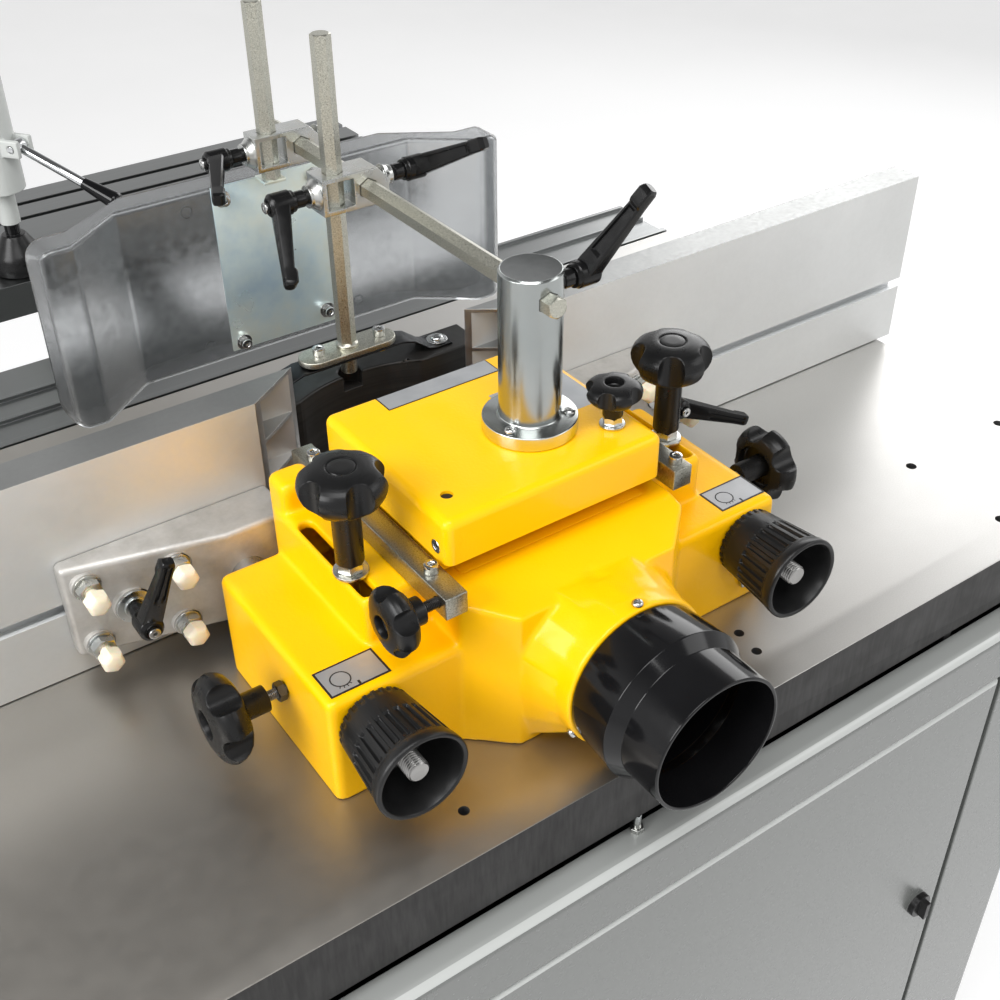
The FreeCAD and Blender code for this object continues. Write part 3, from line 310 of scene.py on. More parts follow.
def nylon():
    k = Mat("natural_nylon").set(Subsurface_Weight=0.35, Subsurface_Scale=0.004, Specular_IOR_Level=0.45)
    k.color(k.ramp(k.noise(60.0, 3), [(0.3, (0.80, 0.735, 0.565)), (0.7, (0.86, 0.80, 0.645))]))
    k.rough(k.noise(200.0, 2), 0.34, 0.46)
    k.bump(k.noise(700.0, 2), 0.08, 0.0003)
    return k.m


M["nylon"] = nylon()


# ---------------------------------------------------------------- mesh building blocks (mm)
def basis(ax, up):
    a = Vector(ax).normalized()
    u = Vector(up)
    u = (u - a * u.dot(a)).normalized()
    return a, u, a.cross(u)


def polar(rows, p, ax, up, n=64, loop=False, th=None):
    """Shell of rows (radius, height) round an axis; each is a number or an array over the angle."""
    a, u, s = (np.array(v) for v in basis(ax, up))
    p = np.array(p, float)
    th = np.arange(n) * TAU / n if th is None else th
    n = len(th)
    dirs = np.outer(np.cos(th), u) + np.outer(np.sin(th), s)
    verts, faces, idx = [], [], []
    for r, h in rows:
        if np.isscalar(r) and abs(r) < 1e-9:
            idx.append([len(verts)])
            verts.append((p + a * float(np.mean(h))).tolist())
            continue
        rr = np.broadcast_to(np.asarray(r, float), (n,))
        hh = np.broadcast_to(np.asarray(h, float), (n,))
        idx.append(list(range(len(verts), len(verts) + n)))
        verts += (p + dirs * rr[:, None] + np.outer(hh, a)).tolist()
    pairs = list(zip(idx, idx[1:]))
    if loop:
        pairs.append((idx[-1], idx[0]))
    for A, B in pairs:
        for k in range(n):
            j = (k + 1) % n
            if len(A) == 1 and len(B) == 1:
                continue
            if len(A) == 1:
                faces.append((A[0], B[k], B[j]))
            elif len(B) == 1:
                faces.append((A[k], B[0], A[j]))
            else:
                faces.append((A[k], B[k], B[j], A[j]))
    if not loop:
        if len(idx[0]) > 1:
            faces.append(tuple(idx[0]))
        if len(idx[-1]) > 1:
            faces.append(tuple(reversed(idx[-1])))
    return verts, faces


def rounded(pts, seg=5):
    """Points (x, y, radius): each corner with a radius becomes an arc."""
    out = []
    n = len(pts)
    for i, q in enumerate(pts):
        rd = q[2] if len(q) > 2 else 0.0
        if rd <= 0 or i in (0, n - 1):
            out.append((float(q[0]), float(q[1])))
            continue
        P = np.array(q[:2], float)
        u = np.array(pts[i - 1][:2], float) - P
        v = np.array(pts[i + 1][:2], float) - P
        lu, lv = np.linalg.norm(u), np.linalg.norm(v)
        u, v = u / lu, v / lv
        ang = math.acos(max(-1.0, min(1.0, float(u @ v))))
        if ang > math.pi - 1e-3:
            out.append((P[0], P[1]))
            continue
        d = min(rd / math.tan(ang / 2), lu * 0.49, lv * 0.49)
        r = d * math.tan(ang / 2)
        w = (u + v) / np.linalg.norm(u + v)
        c = P + w * (r / math.sin(ang / 2))
        a0 = math.atan2(*(P + u * d - c)[::-1])
        a1 = math.atan2(*(P + v * d - c)[::-1])
        da = (a1 - a0 + math.pi) % TAU - math.pi
        for k in range(seg + 1):
            t = a0 + da * k / seg
            out.append((float(c[0] + r * math.cos(t)), float(c[1] + r * math.sin(t))))
    return out


def lathe(pts, p, ax, up=None, n=64, seg=5, loop=False):
    up = up or (Z if abs(Vector(ax).z) < 0.9 else X)
    if loop:
        pts = [*pts, pts[0], pts[1]]
        prof = rounded([(*pts[-3][:2],), *pts[:-2], (*pts[0][:2],)], seg)[1:-1]
        return polar(prof, p, ax, up, n, True)
    return polar(rounded(pts, seg), p, ax, up, n)


def prism(pts, o, u, v, w):
    """Polygon pts in the plane of u and v at o, extruded by w."""
    o, u, v, w = (np.array(q, float) for q in (o, u, v, w))
    a = [(o + u * x + v * y).tolist() for x, y in pts]
    b = [(np.array(q) + w).tolist() for q in a]
    n = len(pts)
    faces = [tuple(range(n - 1, -1, -1)), tuple(range(n, 2 * n))]
    faces += [(k, (k + 1) % n, n + (k + 1) % n, n + k) for k in range(n)]
    return a + b, faces


def block(x0, x1, y0, y1, z0, z1):
    return prism([(x0, y0), (x1, y0), (x1, y1), (x0, y1)], (0, 0, z0), X, Y, (0, 0, z1 - z0))


def hexr(n, af, corner=0.0):
    th = np.arange(n) * TAU / n - math.radians(corner)
    return (af / 2) / np.cos((th % (math.pi / 3)) - math.pi / 6)


def hexbar(p, ax, af, length, up, ch0=True, ch1=True, n=72):
    """Hexagonal bar with turned chamfers on its ends."""
    r = hexr(n, af)
    r0 = af / 2 * 0.93
    drop = np.clip((r - r0) * 0.62, 0, None)
    rows = []
    rows += [(r0, 0.0), (r, drop)] if ch0 else [(r, 0.0)]
    rows += [(r, length - drop), (r0, length)] if ch1 else [(r, length)]
    return polar(rows, p, ax, up, n)


def nut(p, ax, af, h, bore, up=None, n=72):
    up = up or (Z if abs(Vector(ax).z) < 0.9 else X)
    r = hexr(n, af)
    r0 = af / 2 * 0.95
    drop = np.clip((r - r0) * 0.58, 0, None)
    return polar([(bore, 0.6), (bore + 0.6, 0.0), (r0, 0.0), (r, drop), (r, h - drop), (r0, h), (bore + 0.6, h), (bore, h - 0.6)], p, ax, up, n, True)


def washer(p, ax, ro, ri, h):
    return lathe([(ri, 0), (ro, 0, 0.3), (ro, h, 0.3), (ri, h)], p, ax, loop=True, n=64, seg=3)


def cap_screw(p, ax, r, h, af, n=72):
    """Cylinder head with a hexagon socket."""
    up = Z if abs(Vector(ax).z) < 0.9 else X
    hx = hexr(n, af)
    k = 0.5 * (1 + np.cos(np.arange(n) * TAU / n * 36))
    rk = r - 0.14 * k
    return polar([(r * 0.93, 0.0), (rk, 0.35), (rk, h * 0.72), (r, h * 0.74), (r, h - 0.55), (r - 0.16, h - 0.2), (r - 0.55, h), (hx * 1.12, h), (hx, h - 0.35), (hx, h * 0.42), (hx * 0.5, h * 0.36), (0, h * 0.34)], p, ax, up, n)


def pan_screw(p, ax, r, h, n=64):
    """Domed head with a cross recess."""
    up = Z if abs(Vector(ax).z) < 0.9 else X
    th = np.arange(n) * TAU / n
    cross = r * (0.20 + 0.34 * np.abs(np.cos(2 * th)) ** 6)
    dome = [(r * 0.98, 0.0), (r, h * 0.18), (r * 0.97, h * 0.42), (r * 0.88, h * 0.68), (r * 0.72, h * 0.88), (r * 0.60, h * 0.96)]
    return polar(dome + [(cross, h * 0.99), (cross * 0.86, h * 0.52), (0, h * 0.35)], p, ax, up, n)


def thread(p, ax, r, pitch, length, chamfer=1.5, depth=None, n=36):
    """Threaded rod: a ridge that climbs one pitch per turn."""
    up = Z if abs(Vector(ax).z) < 0.9 else X
    depth = depth or pitch * 0.55
    th = np.arange(n) / n
    rows = []
    steps = max(4, int(length / pitch * 8))
    for i in range(steps + 1):
        h = length * i / steps
        ph = (h / pitch - th) % 1.0
        w = np.clip(np.abs(ph - 0.5) * 2 * 1.35 - 0.18, 0, 1)
        rr = r - depth * w
        lim = r - chamfer + min(h, length - h, chamfer) if chamfer else r
        rows.append((np.minimum(rr, max(lim, r - depth - 0.4)), h))
    return polar([(0, 0.0)] + rows + [(0, length)], p, ax, up, n)


def smin(a, b, k):
    h = np.clip(0.5 + 0.5 * (b - a) / k, 0, 1)
    return b * (1 - h) + a * h - k * h * (1 - h)


def star(p, ax, up, R, h, rs, ls, n=5, sunk=False):
    """Star knob: stem, hollow underside, domed head with deep round flutes, ringed cap."""
    deg = [-36, -33, -30, -27, -24.5, -22.5, -21, -20, -19.4, -19.0, -18.7, -18.4, -18.0, -17.2, -15.8, -13.5, -10.5, -7, -3.5]
    deg = deg + [0] + [-v for v in reversed(deg)][:-1]
    ph = np.radians(np.tile(np.array(deg, float), n))          # 0 in the middle of a flute
    th = ph + np.repeat(np.arange(n), len(deg)) * TAU / n + math.pi / n
    N = len(th)
    dc, rc = R * 1.04, R * 0.335
    s2 = rc ** 2 - (dc * np.sin(ph)) ** 2
    cutr = np.where(s2 > 0, dc * np.cos(ph) - np.sqrt(np.clip(s2, 0, None)), 3 * R)
    head = [(0.60, 0.0), (0.70, 0.035), (0.83, 0.13), (0.925, 0.27), (0.98, 0.42), (1.0, 0.57), (0.985, 0.66), (0.95, 0.745), (0.90, 0.815), (0.83, 0.88), (0.74, 0.93), (0.62, 0.967), (0.5, 0.99), (0.42, 0.998), (0.36, 1.0)]
    fine = []
    for (r0, h0), (r1, h1) in zip(head, head[1:]):
        for k in range(3):
            fine.append((r0 + (r1 - r0) * k / 3, h0 + (h1 - h0) * k / 3))
    fine.append(head[-1])
    rows = [(0, 0.0), (rs - 0.8, 0.0), (rs - 0.2, 0.25), (rs, 0.8), (rs, ls + h * 0.26), (rs + 0.5, ls + h * 0.29), (R * 0.53, ls + h * 0.29), (R * 0.56, ls + h * 0.25), (R * 0.575, ls + 0.5), (R * 0.585, ls)]
    for r, z in fine:
        rows.append((smin(np.full(N, r * R), cutr, R * 0.03), ls + z * h))
    if sunk:
        rows += [(R * 0.34, ls + h - 0.2), (R * 0.325, ls + h - 0.9), (R * 0.315, ls + h - 5.2), (R * 0.28, ls + h - 5.8), (0, ls + h - 5.8)]
        return polar(rows, p, ax, up, th=th)
    rows += [(R * 0.345, ls + h - 0.2), (R * 0.335, ls + h - 0.9), (R * 0.315, ls + h - 1.0), (R * 0.30, ls + h - 0.3), (R * 0.28, ls + h - 0.1), (R * 0.15, ls + h + 0.0), (0, ls + h + 0.0)]
    return polar(rows, p, ax, up, th=th)


def cup(p, ax, up, L=64.0, ribs=26):
    """Fine adjuster: toothed foot, plain waist, flat-bottomed grooves, rim band, open end."""
    per = 16
    N = ribs * per
    th = np.arange(N) * TAU / N
    ph = np.abs(((th * ribs / TAU) % 1.0) - 0.5) * 2          # 0 mid groove, 1 mid rib
    rib = np.clip((ph - 0.46) / 0.14, 0, 1)
    rib = rib * rib * (3 - 2 * rib)
    def body(h):
        return 27.6 + (34.6 - 27.6) * h / L
    def depth(h):
        return float(np.interp(h, [0, 4.6, 6.0, 24.0, 25.4, 51.0, 53.6, L], [1.2, 1.2, 0, 0, 2.1, 2.9, 0, 0]))
    rows = [(7.4, 0.0), (25.6, 0.0)]
    for h in [0.0, 0.6, 1.6, 3.0, 4.6, 5.3, 6.0, 9.0, 14.0, 19.0, 24.0, 24.7, 25.4, 30.0, 36.0, 42.0, 47.0, 51.0, 52.0, 52.9, 53.6, 54.4]:
        e = 0.9 if h < 0.3 else (0.3 if h < 1.0 else 0.0)
        rows.append((body(h) - e - depth(h) * (1 - rib), h))
    rows += [(body(55.0) + 0.0, 55.0), (body(56) + 0.35, 55.6), (body(L) + 0.25, L - 3.0), (body(L) + 0.1, L - 1.2), (body(L) - 0.9, L - 0.2), (body(L) - 1.9, L)]
    rows += [(body(L) - 3.0, L - 0.3), (body(L) - 3.7, L - 1.4), (30.0, L - 10), (25.6, 26.0), (24.2, 24.4), (13.0, 24.0), (12.6, 24.4), (12.2, 28.0), (9.4, 28.4), (8.9, 28.0), (8.9, 14.0), (7.4, 13.6)]
    return polar(rows, p, ax, up, N, True)


def lever_parts(p, ax, d, L):
    """Clamping lever: insert with flats, hub, cap screw and an arm with a hollow back and a raised tip."""
    a = Vector(ax).normalized()
    d = Vector(d).normalized()
    s = a.cross(d).normalized()
    t = d.cross(s)
    b = Vector(p)
    q = b + a * 23.0
    up = s
    # insert with flats, and hub
    n = 72
    oct_r = 6.6 / np.cos(((np.arange(n) * TAU / n) % (TAU / 10)) - TAU / 20) * 0.97
    neck = polar([(0, 0.0), (5.4, 0.0), (5.6, 0.4), (5.6, 2.6), (6.4, 3.0), (oct_r, 3.6), (oct_r, 10.6), (6.0, 11.0), (5.9, 12.4), (0, 12.4)], b, a, up, n)
    hub = lathe([(0, 11.6), (8.4, 11.6, 0.6), (8.8, 14.5, 0.8), (9.7, 15.2, 0.6), (9.7, 30.6, 2.2), (7.0, 33.0, 1.2), (5.0, 33.0, 0.3), (5.0, 31.2), (0, 31.2)], b, a, up, 64)
    screw = cap_screw(b + a * 31.0, a, 4.5, 5.6, 3.0)
    # arm: sections along d; the face towards the machine is hollowed, the tip stands up on it
    ks = [-1.0, 3.0, 8.0, 0.22 * L, 0.235 * L, 0.25 * L, 0.4 * L, 0.44 * L, 0.47 * L, 0.55 * L, 0.70 * L, 0.745 * L, 0.76 * L, 0.775 * L, 0.79 * L, 0.81 * L, 0.83 * L, 0.86 * L, 0.93 * L, 0.95 * L, 0.957 * L, 0.985 * L, L]
    cross = [(-1.0, 0), (-0.80, 0), (-0.60, 0), (-0.52, 1), (0.0, 1), (0.52, 1), (0.60, 0), (0.80, 0), (1.0, 0)]
    rings = []
    for k in ks:
        f = max(0.0, min(1.0, k / L))
        w = 8.6 + (5.3 - 8.6) * min(1, f / 0.8)
        ho = 6.2 + (3.6 - 6.2) * f
        hi = 6.4 + (3.9 - 6.4) * f
        if k < 4:
            w *= 0.96
        if 0.795 * L < k < 0.99 * L:
            hi += 2.3 * min(1.0, (k - 0.79 * L) / (0.03 * L)) * min(1.0, (L - k) / (0.03 * L))
        if k > 0.97 * L:
            sh = (k - 0.97 * L) / (0.03 * L)
            w, ho, hi = w - 1.1 * sh, ho - 1.0 * sh, hi - 0.8 * sh
        dep = 0.0
        if 0.225 * L < k < 0.78 * L:
            dep = 2.2 * min(1.0, (k - 0.222 * L) / (0.028 * L)) * min(1.0, (0.778 * L - k) / (0.028 * L))
        ring = []
        c = q + d * k
        r = 1.3
        for xs, inn in cross:
            ring.append(c + s * (xs * (w - (r * 0.75 if abs(xs) > 0.99 else 0))) - t * (hi - dep * inn - (r * 0.0)))
        ring.append(c + s * w - t * (hi - r))
        ring.append(c + s * w + t * (ho - r))
        ring.append(c + s * (w - r * 0.30) + t * (ho - r * 0.30))
        ring.append(c + s * (w - r) + t * ho)
        out = 1.3 * max(0.0, min(1.0, (k - 0.44 * L) / (0.03 * L), (0.955 * L - k) / (0.02 * L)))
        for xs, inn in ((0.66, 0), (0.58, 1), (0.26, 1), (0.18, 0), (-0.18, 0), (-0.26, 1), (-0.58, 1), (-0.66, 0)):
            ring.append(c + s * (xs * (w - 0.4)) + t * (ho + 0.5 * (1 - (xs / 0.8) ** 2) - out * inn))
        ring.append(c - s * (w - r) + t * ho)
        ring.append(c - s * (w - r * 0.30) + t * (ho - r * 0.30))
        ring.append(c - s * w + t * (ho - r))
        ring.append(c - s * w - t * (hi - r))
        rings.append(ring)
    m = len(rings[0])
    verts = [tuple(v) for ring in rings for v in ring]
    faces = [tuple(range(m)), tuple(range((len(rings) - 1) * m, len(rings) * m))]
    for i in range(len(rings) - 1):
        for j in range(m):
            jj = (j + 1) % m
            faces.append((i * m + j, i * m + jj, (i + 1) * m + jj, (i + 1) * m + j))
    return [(neck, 0), (hub, 0), ((verts, faces), 0), (screw, 1)]


def make(name, shells, mats, body, rep=(), bevel=0.0, seg=3, angle=28.0, sharp=34.0, only=None):
    """One piece from shells (verts, faces) or (shell, material index)."""
    mats = mats if isinstance(mats, (list, tuple)) else [mats]
    shells = [s if isinstance(s[1], int) else (s, 0) for s in shells]
    bm = bmesh.new()
    for (verts, faces), mi in shells:
        vs = [bm.verts.new([c * 0.001 for c in v]) for v in verts]
        for f in faces:
            try:
                bf = bm.faces.new([vs[i] for i in f])
                bf.material_index = mi
            except ValueError:
                pass
    bmesh.ops.remove_doubles(bm, verts=bm.verts, dist=2e-7)
    bmesh.ops.recalc_face_normals(bm, faces=bm.faces)
    if bevel:
        ed = [e for e in bm.edges if len(e.link_faces) == 2 and e.calc_face_angle(0.0) > math.radians(angle) and (only is None or only(e))]
        bmesh.ops.bevel(bm, geom=ed, offset=bevel * 0.001, offset_type="OFFSET", segments=seg, profile=0.5, affect="EDGES", clamp_overlap=True)
    me = bpy.data.meshes.new(name)
    bm.to_mesh(me)
    bm.free()
    me.polygons.foreach_set("use_smooth", [True] * len(me.polygons))
    me.set_sharp_from_angle(angle=math.radians(sharp))
    for m in mats:
        me.materials.append(M[m])
    o = bpy.data.objects.new(name, me)
    bpy.context.scene.collection.objects.link(o)
    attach(o, body)
    if rep:
        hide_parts(*rep)
    return o


def dress(node, mats, bevel=0.5, angle=32.0, seg=2, pick=None):
    """Material, small edge radius and smooth shading on a CAD node."""
    o = NODES[node]
    me = o.data
    mats = mats if isinstance(mats, (list, tuple)) else [mats]
    me.materials.clear()
    for m in mats:
        me.materials.append(M[m])
    for nm in ("custom_normal", "sharp_edge", "sharp_face"):
        if nm in me.attributes:
            me.attributes.remove(me.attributes[nm])
    me.polygons.foreach_set("use_smooth", [True] * len(me.polygons))
    if pick:
        for f in me.polygons:
            c = f.center
            f.material_index = pick(c.x * 1000, c.y * 1000, c.z * 1000, f.normal)
    w = o.modifiers.new("weld", "WELD")
    w.merge_threshold = 5e-6
    if bevel:
        b = o.modifiers.new("edges", "BEVEL")
        b.width = bevel * 0.001
        b.segments = seg
        b.limit_method = "ANGLE"
        b.angle_limit = math.radians(angle)
        b.use_clamp_overlap = False
    w = o.modifiers.new("shade", "WEIGHTED_NORMAL")
    w.mode = "FACE_AREA_WITH_ANGLE"
    w.weight = 90
    return o


def remeshed(node, name, voxel, turns, mat, body, factor=0.5):
    """Cast shape: the CAD solid with every edge and inner corner softened."""
    o = bpy.data.objects.new(name, NODES[node].data.copy())
    bpy.context.scene.collection.objects.link(o)
    w = o.modifiers.new("weld", "WELD")
    w.merge_threshold = 5e-6
    r = o.modifiers.new("voxels", "REMESH")
    r.mode = "VOXEL"
    r.voxel_size = voxel * 0.001
    r.adaptivity = 0.0
    s = o.modifiers.new("soft", "SMOOTH")
    s.factor = factor
    s.iterations = turns
    bpy.context.view_layer.update()
    dg = bpy.context.evaluated_depsgraph_get()
    me = bpy.data.meshes.new_from_object(o.evaluated_get(dg), depsgraph=dg)
    o.modifiers.clear()
    old = o.data
    o.data = me
    bpy.data.meshes.remove(old)
    me.name = name
    me.materials.clear()
    me.materials.append(M[mat])
    me.polygons.foreach_set("use_smooth", [True] * len(me.polygons))
    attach(o, body)
    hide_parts(node)
    return o


def mirror(shells):
    out = []
    for s in shells:
        sh, mi = s if isinstance(s[1], int) else (s, 0)
        out.append((([(-v[0], v[1], v[2]) for v in sh[0]], sh[1]), mi))
    return out


def cutter(name, sh):
    verts, faces = sh
    me = bpy.data.meshes.new(name)
    me.from_pydata([[c * 0.001 for c in v] for v in verts], [], faces)
    bm = bmesh.new()
    bm.from_mesh(me)
    bmesh.ops.recalc_face_normals(bm, faces=bm.faces)
    bm.to_mesh(me)
    bm.free()
    o = bpy.data.objects.new(name, me)
    bpy.context.scene.collection.objects.link(o)
    return o


def carve(o, shells):
    """Cuts the shells out of a piece."""
    made = [cutter("carve", s) for s in shells]
    for c in made:
        b = o.modifiers.new("carve", "BOOLEAN")
        b.operation = "DIFFERENCE"
        b.solver = "EXACT"
        b.object = c
    bpy.context.view_layer.update()
    dg = bpy.context.evaluated_depsgraph_get()
    me = bpy.data.meshes.new_from_object(o.evaluated_get(dg), depsgraph=dg)
    o.modifiers.clear()
    old = o.data
    o.data = me
    bpy.data.meshes.remove(old)
    for c in made:
        m = c.data
        bpy.data.objects.remove(c)
        bpy.data.meshes.remove(m)
    me.polygons.foreach_set("use_smooth", [True] * len(me.polygons))
    me.set_sharp_from_angle(angle=math.radians(34))
    return o


# ---------------------------------------------------------------- camera
cam_data = bpy.data.cameras.new("camera")
cam_data.lens = 46.713
cam_data.sensor_width = 36.0
cam_data.clip_start = 0.02
cam_data.clip_end = 60.0
cam = bpy.data.objects.new("camera", cam_data)
bpy.context.scene.collection.objects.link(cam)
cx, cy, cz = Vector((-0.81951, 0.57301, -0.00795)), Vector((-0.3442, -0.4811, 0.80627)), Vector((0.45818, 0.66348, 0.59150))
cam.matrix_world = Matrix(((cx.x, cy.x, cz.x, 0.4525), (cx.y, cy.y, cz.y, 1.0815), (cx.z, cy.z, cz.z, 1.5835), (0, 0, 0, 1)))
bpy.context.scene.camera = cam
bpy.context.scene.view_settings.view_transform = "Standard"

# ---------------------------------------------------------------- table, cabinet, rail, carriage
def on_table(x, y, z, n):
    if n.z > 0.7:
        return 0
    if abs(n.z) < 0.3 and (abs(x) > 599 or y > 612.5 or y < -57.5):
        return 1
    return 2
def table_piece():
    """The table with a small radius along its outer edges only."""
    me = NODES["machine_table"].data.copy()
    me.name = "table_casting"
    bm = bmesh.new()
    bm.from_mesh(me)
    bmesh.ops.remove_doubles(bm, verts=bm.verts, dist=5e-6)
    def rim(v):
        x, y = v.co.x * 1000, v.co.y * 1000
        return abs(x) > 599.9 or y > 613.4 or y < -58.4
    def corner(v):
        x, y = v.co.x * 1000, v.co.y * 1000
        return abs(x) > 599.9 and (y > 613.4 or y < -58.4)
    ed = []
    for e in bm.edges:
        if len(e.link_faces) == 2 and e.calc_face_angle(0.0) > 1.0:
            a, b = e.verts
            top = abs(a.co.z * 1000 - T) < 0.01 and abs(b.co.z * 1000 - T) < 0.01
            if (top and rim(a) and rim(b)) or (corner(a) and corner(b) and abs(a.co.z - b.co.z) > 0.01):
                ed.append(e)
    bmesh.ops.bevel(bm, geom=ed, offset=0.0009, offset_type="OFFSET", segments=3, profile=0.5, affect="EDGES", clamp_overlap=True)
    bm.to_mesh(me)
    bm.free()
    for nm in ("custom_normal", "sharp_edge", "sharp_face"):
        if nm in me.attributes:
            me.attributes.remove(me.attributes[nm])
    me.materials.clear()
    for m in ("top", "edge", "iron"):
        me.materials.append(M[m])
    for f in me.polygons:
        c = f.center
        f.material_index = on_table(c.x * 1000, c.y * 1000, c.z * 1000, f.normal)
        f.use_smooth = True
    me.set_sharp_from_angle(angle=math.radians(28))
    o = bpy.data.objects.new("table_casting", me)
    bpy.context.scene.collection.objects.link(o)
    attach(o, "base")
    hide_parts("machine_table")
table_piece()
dress("insert_rings", "ring_iron", 0.3)
dress("levelling_bolts", "zinc", 0.4)
# the cabinet's top flange faces get the lighter painted-light grey, and its bend faces get the painted-highlight grey
dress("cabinet_shell", ["grey", "grey_painted_lit_flange", "grey_painted_highlight"], 1.3, 40, 3, lambda x, y, z, n: (1 if n.z > 0.92 else 2) if (n.z > 0.35 and z > 700 and y > 560) else 0)
dress("cabinet_feet", ["zinc", "rubber"], 0.6, 32, 2, lambda x, y, z, n: 1 if z < 13.5 else 0)
# the door's top edge fillet gets the painted-highlight grey
dress("rear_door", ["grey", "zinc", "knob", "grey_painted_highlight"], 0.8, 40, 2, lambda x, y, z, n: 2 if (y > 633.6 and x < -360) else (1 if (y > 633.6 and x > 410) else (3 if (n.z > 0.2 and z > 735) else 0)))
dress("guide_rail", "alu", 0.4)
dress("sliding_carriage", ["alu", "rubber"], 0.5, 32, 2, lambda x, y, z, n: 1 if (y > -158.3 and z < T - 30) else 0)
dress("control_panel", "panel", 0.8)
dress("start_button", "green", 0.8)
make("stop_button_head", [lathe([(0, 0), (15.6, 0, 1.0), (16.6, 0.8, 0.8), (21.0, 6.2, 1.0), (21.0, 13.6, 0.8), (11.0, 14.0, 0.4), (11.0, 18.0), (15.0, 18.2, 0.4), (15.0, 36.6, 0.4), (0, 37.0)], (355, -84, T - 245), Y, n=96)], "red", "stop", ("stop_button",))
dress("slide_way", "iron", 0.8)
dress("quill_housing", "iron", 0.8)
dress("spindle_bearings", "chrome", 0.4)
dress("spindle_shaft", "rod", 0.5)
dress("arbor_rings", "rod", 0.4)
dress("spindle_pulley", "alu", 0.5)
dress("motor_pulley", "alu", 0.5)
dress("drive_belt", "rubber", 0.4)
dress("drive_motor", "motor", 0.6)
dress("lift_screw", "rod", 0.4)
dress("handwheel", ["gloss", "rod"], 0.6, 32, 2, lambda x, y, z, n: 1 if y > -53 else 0)
dress("handwheel_grip", "knob", 1.0)

# ---------------------------------------------------------------- hold-down
dress("hold_down_post", ["body_grey", "zinc"], 1.6, 35, 3, lambda x, y, z, n: 1 if (abs(x - 290) < 15 and abs(y + 582.5) < 15 and z > T + 14) or z < T else 0)
LD = Vector((-0.546, 0.735, -0.402)).normalized()
HQ = Vector((107.6 - 0.596 * 36, -439 + 0.803 * 36, T + 158))
make("hold_lever_rod", [lathe([(0, 0), (5.5, 0, 0.4), (5.5, 96, 0.4), (0, 96)], HQ, LD, n=40),
                        lathe([(0, -8.0), (8.0, -8.0, 0.8), (8.0, 8.0, 0.8), (0, 8.0)], HQ, (0.803, 0.596, 0), n=48),
                        lathe([(0, -15), (4.0, -15, 0.5), (4.0, 15, 0.5), (0, 15)], HQ, (0.803, 0.596, 0), n=40)], "chrome", "hold_lever", ("hold_down_lever",))
make("hold_lever_grip", [lathe([(0, 86), (6.4, 86, 0.8), (7.0, 92, 1.5), (9.4, 118, 6), (10.4, 127, 3), (9.0, 132, 3), (0, 132)], HQ, LD, n=48)], "gloss", "hold_lever")
dress("hold_down_foot", ["knob", "gloss", "body_grey"], 0.8, 35, 3, lambda x, y, z, n: 2 if z > T + 63 else (1 if z > T + 45.5 else 0))

# ---------------------------------------------------------------- fences
def on_fence(x, y, z, n):
    if abs(n.x) > 0.5:
        return 2
    if n.z > 0.7 and z > T + 140:
        return 4
    if 257.0 < y < 289.2 and abs(x) > 83:
        # the slot band takes the painted-light slot finish
        return 1 if (abs(z - T - 65) < 16 and y > 270) else 3
    return 0
dress("fence_left", ["fence", "fence_slot_painted_light", "mitre", "fence_in", "fence_top"], 0.35, 32, 2, on_fence)
dress("fence_right", ["fence", "fence_slot_painted_light", "mitre", "fence_in", "fence_top"], 0.35, 32, 2, on_fence)

FB = 289.5 + 0.6
SEATS = [(287, 36.5, 11.6, 308.1), (287, 92, 11.6, 308.1), (223, 36.5, 11.6, 323.0), (223, 92, 11.6, 323.0), (258, 65, 15.2, 314.7)]
def keep_back(e):
    return all(abs(v.co.y * 1000 - FB) > 0.5 for v in e.verts) or abs(e.verts[0].co.y - e.verts[1].co.y) * 1000 > 1.0
def holder(name, sg, body, node):
    """Cast block with a sloping rear face and round spot-faces under its fasteners."""
    flip = mirror if sg < 0 else (lambda q: q)
    blk = prism([(303, FB), (303, 301.5), (184, 331.5), (130, 331.5), (130, FB)], (0, 0, T + 25), X, Y, (0, 0, 84))
    o = make(name, flip([blk]), "cast_alu", body, (node,), 4.6, 5, 28, 60, keep_back)
    carve(o, [c[0] for c in flip([(lathe([(0, 0), (r, 0), (r, 40), (0, 40)], (x, y, T + z), Y, n=72), 0) for x, z, r, y in SEATS])])
    make(name + "_pads", flip([(lathe([(0, 0), (r - 0.05, 0), (r - 0.05, y - 297, 0.5), (0, y - 297)], (x, 297, T + z), Y, n=72, seg=3), 0) for x, z, r, y in SEATS]), "cast_alu", body)
holder("fence_holder_block_left", 1, "holder_l", "fence_holder_left")
holder("fence_holder_block_right", -1, "holder_r", "fence_holder_right")
def bar():
    return [(lathe([(0, 0), (16, 0), (16, 153, 1.2), (0, 153)], (171, 327, T + 65), Y, n=64), 0),
            (lathe([(0, 0), (7.0, 0), (7.0, 75), (0, 75)], (171, 478, T + 65), Y, n=40), 0),
            (thread((171, 552.0, T + 65), Y, 8.3, 2.0, 27.4, 1.4, 1.0, 48), 0)]
make("fence_holder_bar_left", bar(), "rod", "holder_l")
make("fence_holder_bar_right", mirror(bar()), "rod", "holder_r")

